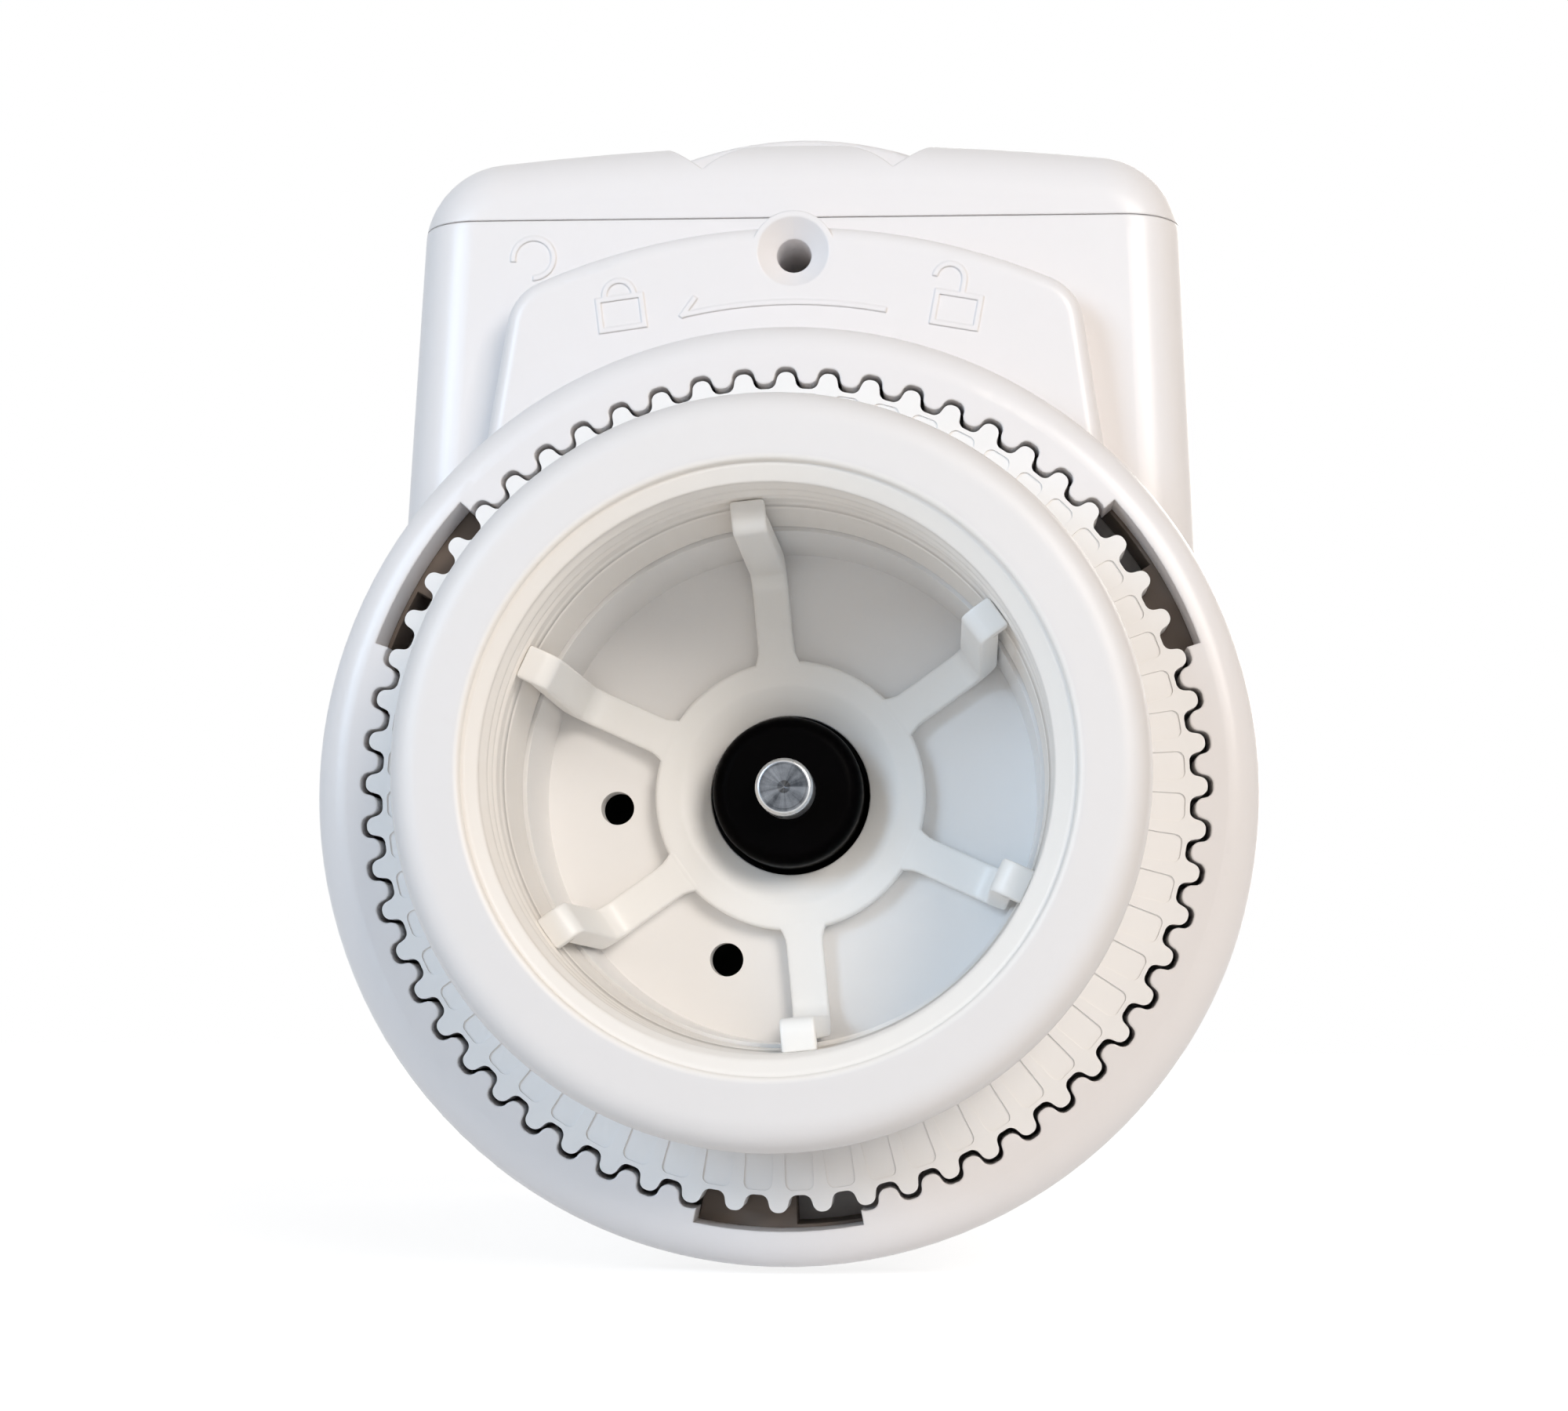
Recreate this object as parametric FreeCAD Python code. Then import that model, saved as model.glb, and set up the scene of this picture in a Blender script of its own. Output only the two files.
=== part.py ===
import FreeCAD, Part
import math
import os

# A battery-powered motorised actuator head for a radiator valve, as an assembly of separate parts.
# Millimetres. The valve axis lies along Y: the union nut's mouth faces -Y, the display faces +Y, +Z is up.
# The origin is on the valve axis at the first full turn of the union nut's thread.
# A "depth" below is a place along Y; an angle is measured in the XZ plane from +X towards +Z.

V = FreeCAD.Vector

# Union nut, M30 x 1.5: the bore is the thread's minor diameter.
nut_front = -1.2
nut_back = 10.4
nut_radius = 19.1
nut_edge = 1.5
thread_minor = 14.19
thread_relief = 15.1
thread_start = -0.3
thread_end = 3.4
lead_in_radius = 15.25
nut_ledge = 5.1
nut_neck = 14.05
grip_grooves = 36
grip_depth = 0.55
grip_width = 1.1

# Toothed plane, where the carrier plugs into the mounting base.
face = 10.8
lip = 2.8
tooth_count = 60
pitch_angle = 360.0 / tooth_count
carrier_root = 21.85
carrier_tip = 22.77
carrier_tooth_root = 0.63
carrier_tooth_tip = 0.41
carrier_tooth_round = 0.46
base_tip = 22.15
base_root = 23.07
base_space_root = 0.71
base_space_tip = 0.53
base_space_round = 0.5
tooth_phase = 90.0

# Carrier: toothed plate, skirt with a bayonet flange, and the cup behind the nut.
cup_radius = 13.9
cup_wall = 1.5
cup_floor = 18.4
floor_thick = 1.6
skirt_radius = 20.7
carrier_skirt_wall = 1.5
flange_radius = 22.0
flange_front = 16.2
flange_back = 17.4
plunger_hole = 5.0
floor_hole = 0.95
floor_hole_circle = 9.95
floor_hole_angles = (184.2, 248.9)
pocket_width = 1.5
pocket_inner = 17.2
pocket_outer = 21.6
pocket_depth = 0.1
pocket_round = 0.4

# Retaining spider: hub, spokes and hooked fingers.
spider_front = 17.2
hub_radius = 7.65
hub_hole = 4.6
spoke_count = 6
spoke_first = 36.0
spoke_width = 2.3
finger_inner = 12.5
finger_outer = 13.75
finger_tip = 3.4
hook_radius = 14.6
hook_back = 4.85

# Mounting base: ring flange, lock ring cavity, three windows and the raised fan-shaped plate.
ring_radius = 25.75
ring_edge = 1.9
cavity_radius = 24.75
cavity_back = 17.7
back = 18.8
spigot_inner = 15.8
spigot_outer = 17.4
spigot_end = 22.8
window_angles = (30.0, 150.0, 270.0)
window_half = 11.0
window_radius = 23.75
plate_front = 15.8
plate_arc = 36.5
plate_top = 32.7
screw_z = 31.1
screw_radius = 1.0
screw_dish = 2.05
screw_boss = 2.4
screw_depth = 23.8
base_screw_circle = 18.9
base_screw_angles = (0.0, 180.0, 270.0)
base_screw_shank = 0.75
base_screw_head = 1.25
base_screw_sink = 0.7
base_screw_bite = 4.0
emboss = 0.07
emboss_root = 0.3
line = 0.3
lock_width = 2.8
lock_low = -1.1
lock_high = 1.0
bow_radius = 1.0
bow_shift = 0.7
padlock_z = 27.6
closed_x = -9.85
closed_tilt = 8.0
open_x = 9.35
open_tilt = -10.0
arrow_radius = 28.1
arrow_middle = 91.0
arrow_span = 24.0
arrow_barb = 1.3
arrow_tilt = -35.0
mark_x = -15.5
mark_z = 31.7
mark_radius = 1.35
plate_half_low = 18.4
plate_half_high = 16.3
plate_low = 15.0
plate_corner = 3.0
plate_rim = 0.9

# Lock ring: three lugs that turn in front of the carrier's bayonet flange.
lock_inner = 23.6
lock_outer = 24.5
lock_front = 13.9
lock_back = 17.4
lug_inner = 21.2
lug_back = 15.9
lug_span = 13.0
lock_travel = 24.0
tab_radius = 25.7
tab_front = 15.4
tab_back = 17.2
tab_span = 14.0

# Housing, front fascia and battery cover share one outline.
wall = 1.7
low_radius = 23.85
seam_z = 34.0
seam_gap = 0.03
seam_half = 22.5
top_z = 39.3
crown = 1.2
top_corner = 5.2
back_edge = 3.4
lip_front = 24.2
lip_back = 26.4
lip_top = 40.6
lip_arc = 21.0
lip_half = 8.4
scoop_half = 5.6
scoop_low = 37.1
scoop_high = 39.5
skirt_x = 19.7
skirt_wall = 1.1
skirt_depth = 2.6
skirt_start = 4.0
skirt_length = 24.0
front_edge = 2.4
fascia_back = 82.8
front = 86.8

# Plunger and its drive.
plunger_radius = 4.2
plunger_front = 14.6
plunger_back = 33.8
pin_radius = 1.6
pin_tip = 12.0
pin_back = 19.8
screw_bore = 2.5
guide_gap = 0.1
gear_module = 0.5
pressure = math.radians(25.0)
addendum = 0.9
dedendum = 1.15
backlash = 0.14
output_teeth = 36
wheel_teeth = 30
pinion_teeth = 12
frame_front = 34.8
frame_back = 36.8
plate_rear = 49.3
plate_thick = 2.0
second_angle = -45.0
first_angle = 200.0
motor_angle = 160.0
output_front = 38.6
second_front = 42.4
first_front = 45.6
gear_width = 2.4
axle_radius = 0.75
axle_gap = 0.05
shaft_radius = 0.5
shaft_end = 55.0
motor_front = plate_rear + plate_thick
motor_radius = 6.0
motor_flat = 5.0
motor_length = 15.0
terminal_spread = 3.5
post_places = ((16.8, 0.0), (-16.8, 0.0), (0.0, 12.4))
post_radius = 2.3
post_bore = 0.7
post_head = 1.9
leg_angles = (20.0, 160.0, 240.0, 300.0)
leg_circle = 19.4
leg_radius = 1.7
deck_inset = 3.7
deck_top = 15.0

# Cells, board and display.
cell_radius = 7.2
cell_x = 7.75
cell_z = 26.0
cell_front = 26.0
cell_length = 49.5
board_front = 78.1
board_thick = 1.0
window_w = 30.0
window_h = 22.0
window_z = 12.0
button_z = -9.0
button_radius = 4.0
button_gap = 0.3
button_pitch = 12.0
button_proud = 0.6


def at(radius, angle, depth):
    """A point by radius and angle about the valve axis, at a depth."""
    turn = math.radians(angle)
    return V(radius * math.cos(turn), depth, radius * math.sin(turn))


def cylinder(radius, start, end, x=0.0, z=0.0):
    """A cylinder along Y."""
    return Part.makeCylinder(radius, end - start, V(x, start, z), V(0, 1, 0))


def tube(outer, inner, start, end, x=0.0, z=0.0):
    """A tube along Y."""
    return cylinder(outer, start, end, x, z).cut(cylinder(inner, start - 1, end + 1, x, z))


def block(width, start, end, low, high, x=0.0):
    """A box centred on x, from depth start to end and from height low to high."""
    return Part.makeBox(width, end - start, high - low, V(x - width / 2, start, low))


def rounded(corners):
    """A closed wire through (point, radius) corners; each corner is a tangent arc of its radius."""
    edges = []
    ends = []
    count = len(corners)
    for i in range(count):
        corner, radius = corners[i]
        before = (corners[i - 1][0] - corner).normalize()
        after = (corners[(i + 1) % count][0] - corner).normalize()
        if radius == 0:
            ends.append((corner, None, corner))
            continue
        half = before.getAngle(after) / 2
        reach = radius / math.tan(half)
        middle = (before + after).normalize() * (radius / math.sin(half) - radius)
        ends.append((corner + before * reach, corner + middle, corner + after * reach))
    for i in range(count):
        first, middle, last = ends[i]
        if middle is not None:
            edges.append(Part.Arc(first, middle, last).toShape())
        following = ends[(i + 1) % count][0]
        if last.distanceToPoint(following) > 1e-6:
            edges.append(Part.LineSegment(last, following).toShape())
    return Part.Wire(edges)


def slab(corners, start, end):
    """A plate in the XZ plane from (x, z, corner radius) corners, between two depths."""
    wire = rounded([(V(x, start, z), radius) for x, z, radius in corners])
    return Part.Face(wire).extrude(V(0, end - start, 0))


def turned(corners):
    """A solid of revolution about the valve axis from (radius, depth, corner radius) corners."""
    wire = rounded([(V(r, depth, 0), radius) for r, depth, radius in corners])
    return Part.Face(wire).revolve(V(0, 0, 0), V(0, 1, 0), 360)


def sector(inner, outer, middle, span, start, end):
    """A block bounded by two radii and an angle span about the valve axis."""
    low = middle - span / 2
    high = middle + span / 2
    edges = [
        Part.Arc(at(outer, low, start), at(outer, middle, start), at(outer, high, start)).toShape(),
        Part.LineSegment(at(outer, high, start), at(inner, high, start)).toShape(),
        Part.Arc(at(inner, high, start), at(inner, middle, start), at(inner, low, start)).toShape(),
        Part.LineSegment(at(inner, low, start), at(outer, low, start)).toShape(),
    ]
    return Part.Face(Part.Wire(edges)).extrude(V(0, end - start, 0))


def spun(shape, angle):
    """A copy turned about the valve axis, positive from +X towards +Z."""
    copy = shape.copy()
    copy.rotate(V(0, 0, 0), V(0, -1, 0), angle)
    return copy


def placed(shape, x, z):
    """A copy moved in the XZ plane."""
    copy = shape.copy()
    copy.translate(V(x, 0, z))
    return copy


def spline_disc(root, tip, half_root, half_tip, round_off, start, end):
    """A toothed disc; teeth are centred on tooth_phase + k * pitch_angle and have rounded corners."""
    corners = []
    for k in range(tooth_count):
        middle = tooth_phase + k * pitch_angle
        for radius, side in ((root, -half_root), (tip, -half_tip), (tip, half_tip), (root, half_root)):
            turn = math.degrees(side / radius)
            corners.append((at(radius, middle + turn, start), round_off))
    return Part.Face(rounded(corners)).extrude(V(0, end - start, 0))


def union_nut():
    body = turned([
        (lead_in_radius, nut_front, 0), (nut_radius, nut_front, nut_edge), (nut_radius, nut_back, 0.5),
        (nut_neck, nut_back, 0.3), (nut_neck, nut_ledge, 0), (thread_relief, nut_ledge, 0),
        (thread_relief, thread_end + 0.4, 0), (thread_minor, thread_end, 0),
        (thread_minor, thread_start, 0), (lead_in_radius - 0.1, nut_front + 0.35, 0),
        (lead_in_radius, nut_front + 0.35, 0)])
    groove = Part.makeBox(grip_depth + 1, nut_back - 1.2, grip_width,
                          V(nut_radius - grip_depth, 2.0, -grip_width / 2))
    grooves = [spun(groove, 360.0 * k / grip_grooves) for k in range(grip_grooves)]
    return body.cut(Part.makeCompound(grooves))


def pocket():
    """One shallow radial pocket in the carrier's face, rounded at its outer end."""
    half = pocket_width / 2
    return slab([(pocket_inner, -half, 0), (pocket_outer, -half, pocket_round),
                 (pocket_outer, half, pocket_round), (pocket_inner, half, 0)], face - 1, face + pocket_depth)


def toothed_carrier():
    teeth = spline_disc(carrier_root, carrier_tip, carrier_tooth_root, carrier_tooth_tip,
                        carrier_tooth_round, face, face + lip)
    teeth = teeth.cut(cylinder(cup_radius, face - 1, face + lip + 1))
    skirt = tube(skirt_radius, skirt_radius - carrier_skirt_wall, face + lip - 0.5, flange_back)
    cup = tube(cup_radius + cup_wall, cup_radius, face + lip - 0.5, cup_floor + floor_thick)
    floor = tube(cup_radius + 0.5, plunger_hole, cup_floor, cup_floor + floor_thick)
    solid = teeth.fuse([skirt, cup, floor])
    # The bayonet flange leaves three gaps, where the lugs stand when the lock ring is open.
    gap = lug_span + 5.0
    for middle in window_angles:
        lug_middle = middle - window_half + lug_span / 2
        solid = solid.fuse(sector(skirt_radius - 0.4, flange_radius, lug_middle + 60.0, 120.0 - gap,
                                  flange_front, flange_back))
    pockets = [spun(pocket(), (k + 0.5) * pitch_angle) for k in range(tooth_count)]
    solid = solid.cut(Part.makeCompound(pockets))
    holes = [cylinder(floor_hole, cup_floor - 1, cup_floor + floor_thick + 1,
                      at(floor_hole_circle, a, 0).x, at(floor_hole_circle, a, 0).z)
             for a in floor_hole_angles]
    return solid.cut(Part.makeCompound(holes))


def finger():
    """One spoke with its upturned finger and hook, along +X."""
    half = spoke_width / 2
    start = hub_radius - 1.15
    slope = 0.9
    corners = [(start, spider_front, 0), (finger_inner, spider_front, 2.2),
               (finger_inner, finger_tip + 0.4, 0.3), (finger_outer - 0.4, finger_tip, 0.2),
               (hook_radius, finger_tip + slope, 0.1), (hook_radius, hook_back, 0.1),
               (finger_outer, hook_back, 0), (finger_outer, cup_floor, 0.6), (start, cup_floor, 0)]
    wire = rounded([(V(r, depth, -half), radius) for r, depth, radius in corners])
    return Part.Face(wire).extrude(V(0, 0, spoke_width))


def retaining_spider():
    # The hub's front is dished towards the plunger.
    hub = turned([(hub_hole, spider_front + 0.55, 0), (hub_hole + 1.7, spider_front, 0.4),
                  (hub_radius, spider_front, 0.15), (hub_radius, cup_floor, 0), (hub_hole, cup_floor, 0)])
    fingers = [spun(finger(), spoke_first + k * 360.0 / spoke_count) for k in range(spoke_count)]
    return hub.fuse(fingers).removeSplitter()


def fan_plate():
    """The raised plate above the ring: a fan with an arched top, and a boss for the screw."""
    arc_centre = plate_top - plate_arc
    high_z = arc_centre + math.sqrt(plate_arc ** 2 - plate_half_high ** 2)
    start = plate_front
    left_low = V(-plate_half_low, start, plate_low)
    right_low = V(plate_half_low, start, plate_low)
    left_high = V(-plate_half_high, start, high_z)
    right_high = V(plate_half_high, start, high_z)
    edges = [
        Part.LineSegment(left_low, right_low).toShape(),
        Part.LineSegment(right_low, right_high).toShape(),
        Part.Arc(right_high, V(0, start, plate_top), left_high).toShape(),
        Part.LineSegment(left_high, left_low).toShape(),
    ]
    plate = Part.Face(Part.Wire(edges)).extrude(V(0, back - start, 0))
    corners = [e for e in plate.Edges if abs(e.Length - (back - start)) < 1e-6 and e.BoundBox.ZMin > 20]
    plate = plate.makeFillet(plate_corner, corners)
    rim = [e for e in plate.Edges if e.BoundBox.YMax < start + 1e-6 and e.BoundBox.ZMax > plate_low + 1]
    plate = plate.makeFillet(plate_rim, rim)
    boss = cylinder(screw_boss, start, back, 0, screw_z)
    return plate.fuse(boss).cut(cylinder(cavity_radius + 0.5, start - 1, back + 1))


def raised(shape_width, low, high, x=0.0):
    """A bar that stands proud of the fan plate by the emboss height."""
    return block(shape_width, plate_front - emboss, plate_front + emboss_root, low, high, x)


def padlock(x, z, tilt, is_open):
    """An embossed padlock outline on the fan plate."""
    inside = block(lock_width - 2 * line, plate_front - 1, plate_front, lock_low + line, lock_high - line)
    body = raised(lock_width, lock_low, lock_high).cut(inside)
    bow_x = 0.0
    bow_z = lock_high
    if is_open:
        bow_x = -bow_shift
        bow_z = lock_high + bow_shift
    bow = tube(bow_radius, bow_radius - line, plate_front - emboss, plate_front + emboss_root, bow_x, bow_z)
    below = block(3 * bow_radius, plate_front - 1, plate_front + 1, bow_z - 2 * bow_radius, bow_z, bow_x)
    bow = bow.cut(below)
    shape = body.fuse(bow)
    if is_open:
        shape = shape.fuse(raised(line, lock_high - line, bow_z, bow_x + bow_radius - line / 2))
    shape.rotate(V(0, 0, 0), V(0, -1, 0), tilt)
    return placed(shape, x, z)


def turn_arrow():
    """A thin raised arc that points towards the closed padlock."""
    start = plate_front - emboss
    end = plate_front + emboss_root
    arc = sector(arrow_radius - line / 2, arrow_radius + line / 2, arrow_middle, arrow_span, start, end)
    tip = at(arrow_radius, arrow_middle + arrow_span / 2, 0)
    barb = raised(line, -line / 2, arrow_barb)
    barb.rotate(V(0, 0, 0), V(0, -1, 0), arrow_tilt)
    return arc.fuse(placed(barb, tip.x, tip.z))


def mounting_base():
    ring = turned([
        (base_tip - 0.6, face, 0), (ring_radius, face, ring_edge), (ring_radius, back, 0.4),
        (spigot_outer, back, 0), (spigot_outer, spigot_end, 0), (spigot_inner, spigot_end, 0),
        (spigot_inner, cavity_back, 0), (cavity_radius, cavity_back, 0), (cavity_radius, face + lip, 0),
        (base_tip - 0.6, face + lip, 0)])
    # Internal teeth: the space between them is a toothed disc half a pitch out of step.
    space = spline_disc(base_tip, base_root, base_space_root, base_space_tip,
                        base_space_round, face - 1, face + lip + 0.1)
    solid = ring.fuse(fan_plate()).cut(space)
    windows = [sector(base_tip - 1, window_radius, a, 2 * window_half, face - 1, face + lip + 0.1)
               for a in window_angles]
    slot = sector(cavity_radius - 0.6, ring_radius + 1, 270.0, tab_span + lock_travel + 4.0,
                  tab_front - 0.3, tab_back + 0.3)
    solid = solid.cut(Part.makeCompound(windows + [slot]))
    solid = solid.fuse([padlock(closed_x, padlock_z, closed_tilt, False),
                        padlock(open_x, padlock_z, open_tilt, True), turn_arrow()])
    dish = Part.makeCone(screw_dish, screw_radius, 1.0, V(0, plate_front, screw_z), V(0, 1, 0))
    hole = cylinder(screw_radius, plate_front - 1, back + 1, 0, screw_z)
    solid = solid.cut(Part.makeCompound([dish, hole]))
    for angle in base_screw_angles:
        place = at(base_screw_circle, angle, 0)
        sink = cavity_back + base_screw_sink
        solid = solid.cut(cylinder(base_screw_shank, cavity_back - 1, back + 1, place.x, place.z))
        solid = solid.cut(cylinder(base_screw_head + 0.15, cavity_back - 1, sink, place.x, place.z))
    return solid


def base_screws():
    """Three sunk screws that hold the mounting base to the housing, hidden by the carrier."""
    screws = []
    for angle in base_screw_angles:
        place = at(base_screw_circle, angle, 0)
        sink = cavity_back + base_screw_sink
        head = cylinder(base_screw_head, cavity_back + 0.1, sink, place.x, place.z)
        shank = cylinder(base_screw_shank, sink - 0.1, back + base_screw_bite, place.x, place.z)
        screws.append(head.fuse(shank))
    return Part.makeCompound(screws)


def lock_ring():
    ring = tube(lock_outer, lock_inner, lock_front, lock_back)
    for middle in window_angles:
        lug_middle = middle - window_half + lug_span / 2
        ring = ring.fuse(sector(lug_inner, lock_inner + 0.5, lug_middle, lug_span, lock_front, lug_back))
    tab_middle = 270.0 - lock_travel / 2
    ring = ring.fuse(sector(lock_inner + 0.3, tab_radius, tab_middle, tab_span, tab_front, tab_back))
    # Grip grooves across the finger tab.
    grooves = [sector(tab_radius - 0.35, tab_radius + 1, tab_middle + side, 1.0, tab_front - 1, tab_back + 1)
               for side in (-4.5, -1.5, 1.5, 4.5)]
    return ring.cut(Part.makeCompound(grooves))


def outline(inset, depth):
    """The housing's section: a round lower end, sides that lean in, and a crowned top."""
    radius = low_radius - inset
    lean = math.atan2(low_radius - seam_half, seam_z)
    side = at(radius, math.degrees(lean), depth)
    top = top_z - inset
    rise = top - crown - side.z
    corner = V(side.x - rise * math.tan(lean), depth, top - crown)
    round_off = top_corner - inset
    down = (side - corner).normalize()
    peak = V(0, depth, top)
    across = (peak - corner).normalize()
    half = down.getAngle(across) / 2
    reach = round_off / math.tan(half)
    inward = (down + across).normalize() * (round_off / math.sin(half) - round_off)
    low = corner + down * reach
    middle = corner + inward
    high = corner + across * reach

    def mirrored(point):
        return V(-point.x, point.y, point.z)

    edges = [
        Part.Arc(mirrored(side), V(0, depth, -radius), side).toShape(),
        Part.LineSegment(side, low).toShape(),
        Part.Arc(low, middle, high).toShape(),
        Part.Arc(high, V(0, depth, top), mirrored(high)).toShape(),
        Part.Arc(mirrored(high), mirrored(middle), mirrored(low)).toShape(),
        Part.LineSegment(mirrored(low), mirrored(side)).toShape(),
    ]
    return Part.Wire(edges)


def prism(inset, start, end):
    """A solid of the housing's section between two depths."""
    return Part.Face(outline(inset, start)).extrude(V(0, end - start, 0))


def envelope():
    """The outer form of the housing, fascia and battery cover together."""
    solid = prism(0.0, back, front)
    rear = [e for e in solid.Edges if e.BoundBox.YMax < back + 1e-6]
    solid = solid.makeFillet(back_edge, rear)
    fore = [e for e in solid.Edges if e.BoundBox.YMin > front - 1e-6]
    return solid.makeFillet(front_edge, fore)


def below_seam(shape):
    return shape.common(block(80, back - 5, front + 5, -40, seam_z - seam_gap))


def main_housing(form):
    shell = below_seam(form).common(block(80, back - 5, fascia_back, -40, 60))
    shell = shell.cut(prism(wall, back + wall, front))
    opening = cylinder(spigot_outer + 0.1, back - 1, spigot_end + 1)
    boss = cylinder(screw_boss, back + 0.5, screw_depth + 1.2, 0, screw_z)
    shell = shell.cut(opening).fuse(boss)
    # A small raised hook-shaped mark beside the fan plate.
    mark = tube(mark_radius, mark_radius - line, back - emboss, back + emboss_root, mark_x, mark_z)
    mark = mark.cut(block(4, back - 1, back + 1, mark_z - 2.7, mark_z - 0.2, mark_x - 2))
    shell = shell.fuse(mark)
    holes = [cylinder(screw_radius, back - 1, screw_depth, 0, screw_z)]
    for angle in base_screw_angles:
        place = at(base_screw_circle, angle, 0)
        shell = shell.fuse(cylinder(1.9, back + 0.5, back + 5.0, place.x, place.z))
        holes.append(cylinder(base_screw_shank, back - 1, back + base_screw_bite, place.x, place.z))
    return shell.cut(Part.makeCompound(holes + [opening]))


def thumb_scoop():
    """The space of the thumb recess: slanted ends over an arched floor."""
    start = back - 2
    low_left = V(-scoop_half, start, scoop_low)
    low_right = V(scoop_half, start, scoop_low)
    high_left = V(-lip_half - 1.2, start, top_z + 1)
    high_right = V(lip_half + 1.2, start, top_z + 1)
    edges = [
        Part.Arc(low_left, V(0, start, scoop_high), low_right).toShape(),
        Part.LineSegment(low_right, high_right).toShape(),
        Part.LineSegment(high_right, high_left).toShape(),
        Part.LineSegment(high_left, low_left).toShape(),
    ]
    return Part.Face(Part.Wire(edges)).extrude(V(0, lip_front - start, 0))


def thumb_lip():
    """The arched ridge in front of which the thumb pushes."""
    arch = cylinder(lip_arc, lip_front, lip_back, 0, lip_top - lip_arc)
    arch = arch.common(block(2 * lip_half, back, back + 20, scoop_low - 1.0, lip_top + 1))
    rims = [e for e in arch.Edges if e.BoundBox.ZMax > lip_top - 0.01 and e.BoundBox.YLength < 1e-6]
    return arch.makeFillet(0.4, rims)


def battery_cover(form):
    """The top cover, with a thumb recess and an arched lip at its rear edge."""
    above = block(80, back - 5, front + 5, seam_z + seam_gap, 60)
    cover = form.common(above).cut(thumb_scoop()).fuse(thumb_lip())
    hollow = prism(wall, back + wall, front - wall)
    under_scoop = block(2 * (lip_half + 1.2), back + 0.5, lip_back + 1.2, seam_z + 1.5, top_z - 0.8)
    cover = cover.cut(hollow.cut(under_scoop))
    # A guide skirt on each side hangs inside the housing's wall and joins the cover above the seam.
    skirts = []
    start = back + skirt_start
    end = start + skirt_length
    top = seam_z + 1.4
    for side in (-1, 1):
        skirts.append(block(skirt_wall, start, end, seam_z - skirt_depth, top, side * skirt_x))
        skirts.append(block(skirt_wall + 0.8, start, end, seam_z + 0.45, top, side * (skirt_x + 0.4)))
    return cover.fuse(skirts)


def front_fascia(form):
    plate = below_seam(form).common(block(80, fascia_back, front + 5, -40, 60))
    plate = plate.cut(prism(wall, fascia_back - 1, front - 2.0))
    recess = block(window_w, front - 1.1, front + 1, window_z - window_h / 2, window_z + window_h / 2)
    sight = block(window_w - 4, fascia_back, front, window_z - window_h / 2 + 2, window_z + window_h / 2 - 2)
    holes = [cylinder(button_radius + button_gap, fascia_back, front + 1, x, button_z)
             for x in (-button_pitch, 0, button_pitch)]
    return plate.cut(Part.makeCompound([recess, sight] + holes))


def display_window():
    return block(window_w - 0.3, front - 1.05, front - 0.1,
                 window_z - window_h / 2 + 0.15, window_z + window_h / 2 - 0.15)


def lcd_module():
    glass = block(28.0, front - 3.6, front - 2.15, window_z - 10.0, window_z + 10.0)
    ledge = block(28.0, front - 3.6, front - 2.9, window_z - 11.6, window_z - 9.5)
    return glass.fuse(ledge)


def backlight_frame():
    top = board_front + board_thick
    frame = block(29.0, top, front - 3.6, window_z - 11.8, window_z + 10.6)
    return frame.cut(block(24.0, top + 1.0, front - 2, window_z - 8.5, window_z + 8.5))


def circuit_board():
    board = prism(wall + 1.2, board_front, board_front + board_thick)
    board = board.cut(block(80, board_front - 1, board_front + 2, 30.0, 60))
    notch = block(5.0, board_front - 1, board_front + 2, -30.0, -19.0)
    return board.cut(notch)


def board_chips():
    """Controller, driver and memory packages on the board's inner face."""
    chips = []
    for x, z, size in ((-9.0, 4.0, 7.0), (5.0, 6.0, 4.0), (11.0, -4.0, 3.0)):
        chips.append(block(size, board_front - 1.2, board_front, z - size / 2, z + size / 2, x))
    return Part.makeCompound(chips)


def radio_module():
    can = block(12.0, board_front - 2.2, board_front, -14.0, -4.0, -6.0)
    strip = block(10.0, board_front - 0.6, board_front, -17.0, -14.0, -6.0)
    return can.fuse(strip)


def tact_switches():
    switches = []
    start = board_front + board_thick
    for x in (-button_pitch, 0, button_pitch):
        case = block(4.6, start, start + 1.4, button_z - 2.3, button_z + 2.3, x)
        switches.append(case.fuse(cylinder(1.1, start + 1.4, start + 1.9, x, button_z)))
    return Part.makeCompound(switches)


def temperature_sensor():
    bead = Part.makeSphere(1.1, V(15.5, board_front - 4.0, -8.0))
    lead = cylinder(0.35, board_front - 4.0, board_front, 15.5, -8.0)
    return bead.fuse(lead)


def button(x):
    """A round push button with a retaining flange and a stem above its switch."""
    bottom = front - 2.3
    stem_end = board_front + board_thick + 1.9 + 0.8
    cap = cylinder(button_radius, bottom - 0.3, front + button_proud, x, button_z)
    rim = [e for e in cap.Edges if e.BoundBox.YMin > front + button_proud - 1e-6]
    cap = cap.makeFillet(0.5, rim)
    flange = cylinder(button_radius + 0.8, bottom - 0.7, bottom, x, button_z)
    stem = cylinder(1.2, stem_end, bottom, x, button_z)
    return cap.fuse([flange, stem])


def cell(x, flipped):
    """One AA cell with its raised positive end."""
    end = cell_front + cell_length
    body = cylinder(cell_radius, cell_front + 1.0, end, x, cell_z)
    edges = [e for e in body.Edges if e.Length < 2 * math.pi * cell_radius + 1 and len(e.Vertexes) == 1]
    body = body.makeFillet(0.5, edges)
    shape = body.fuse(cylinder(2.7, cell_front, cell_front + 1.5, x, cell_z))
    if flipped:
        shape.rotate(V(x, cell_front + cell_length / 2, cell_z), V(0, 0, 1), 180)
    return shape


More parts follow.
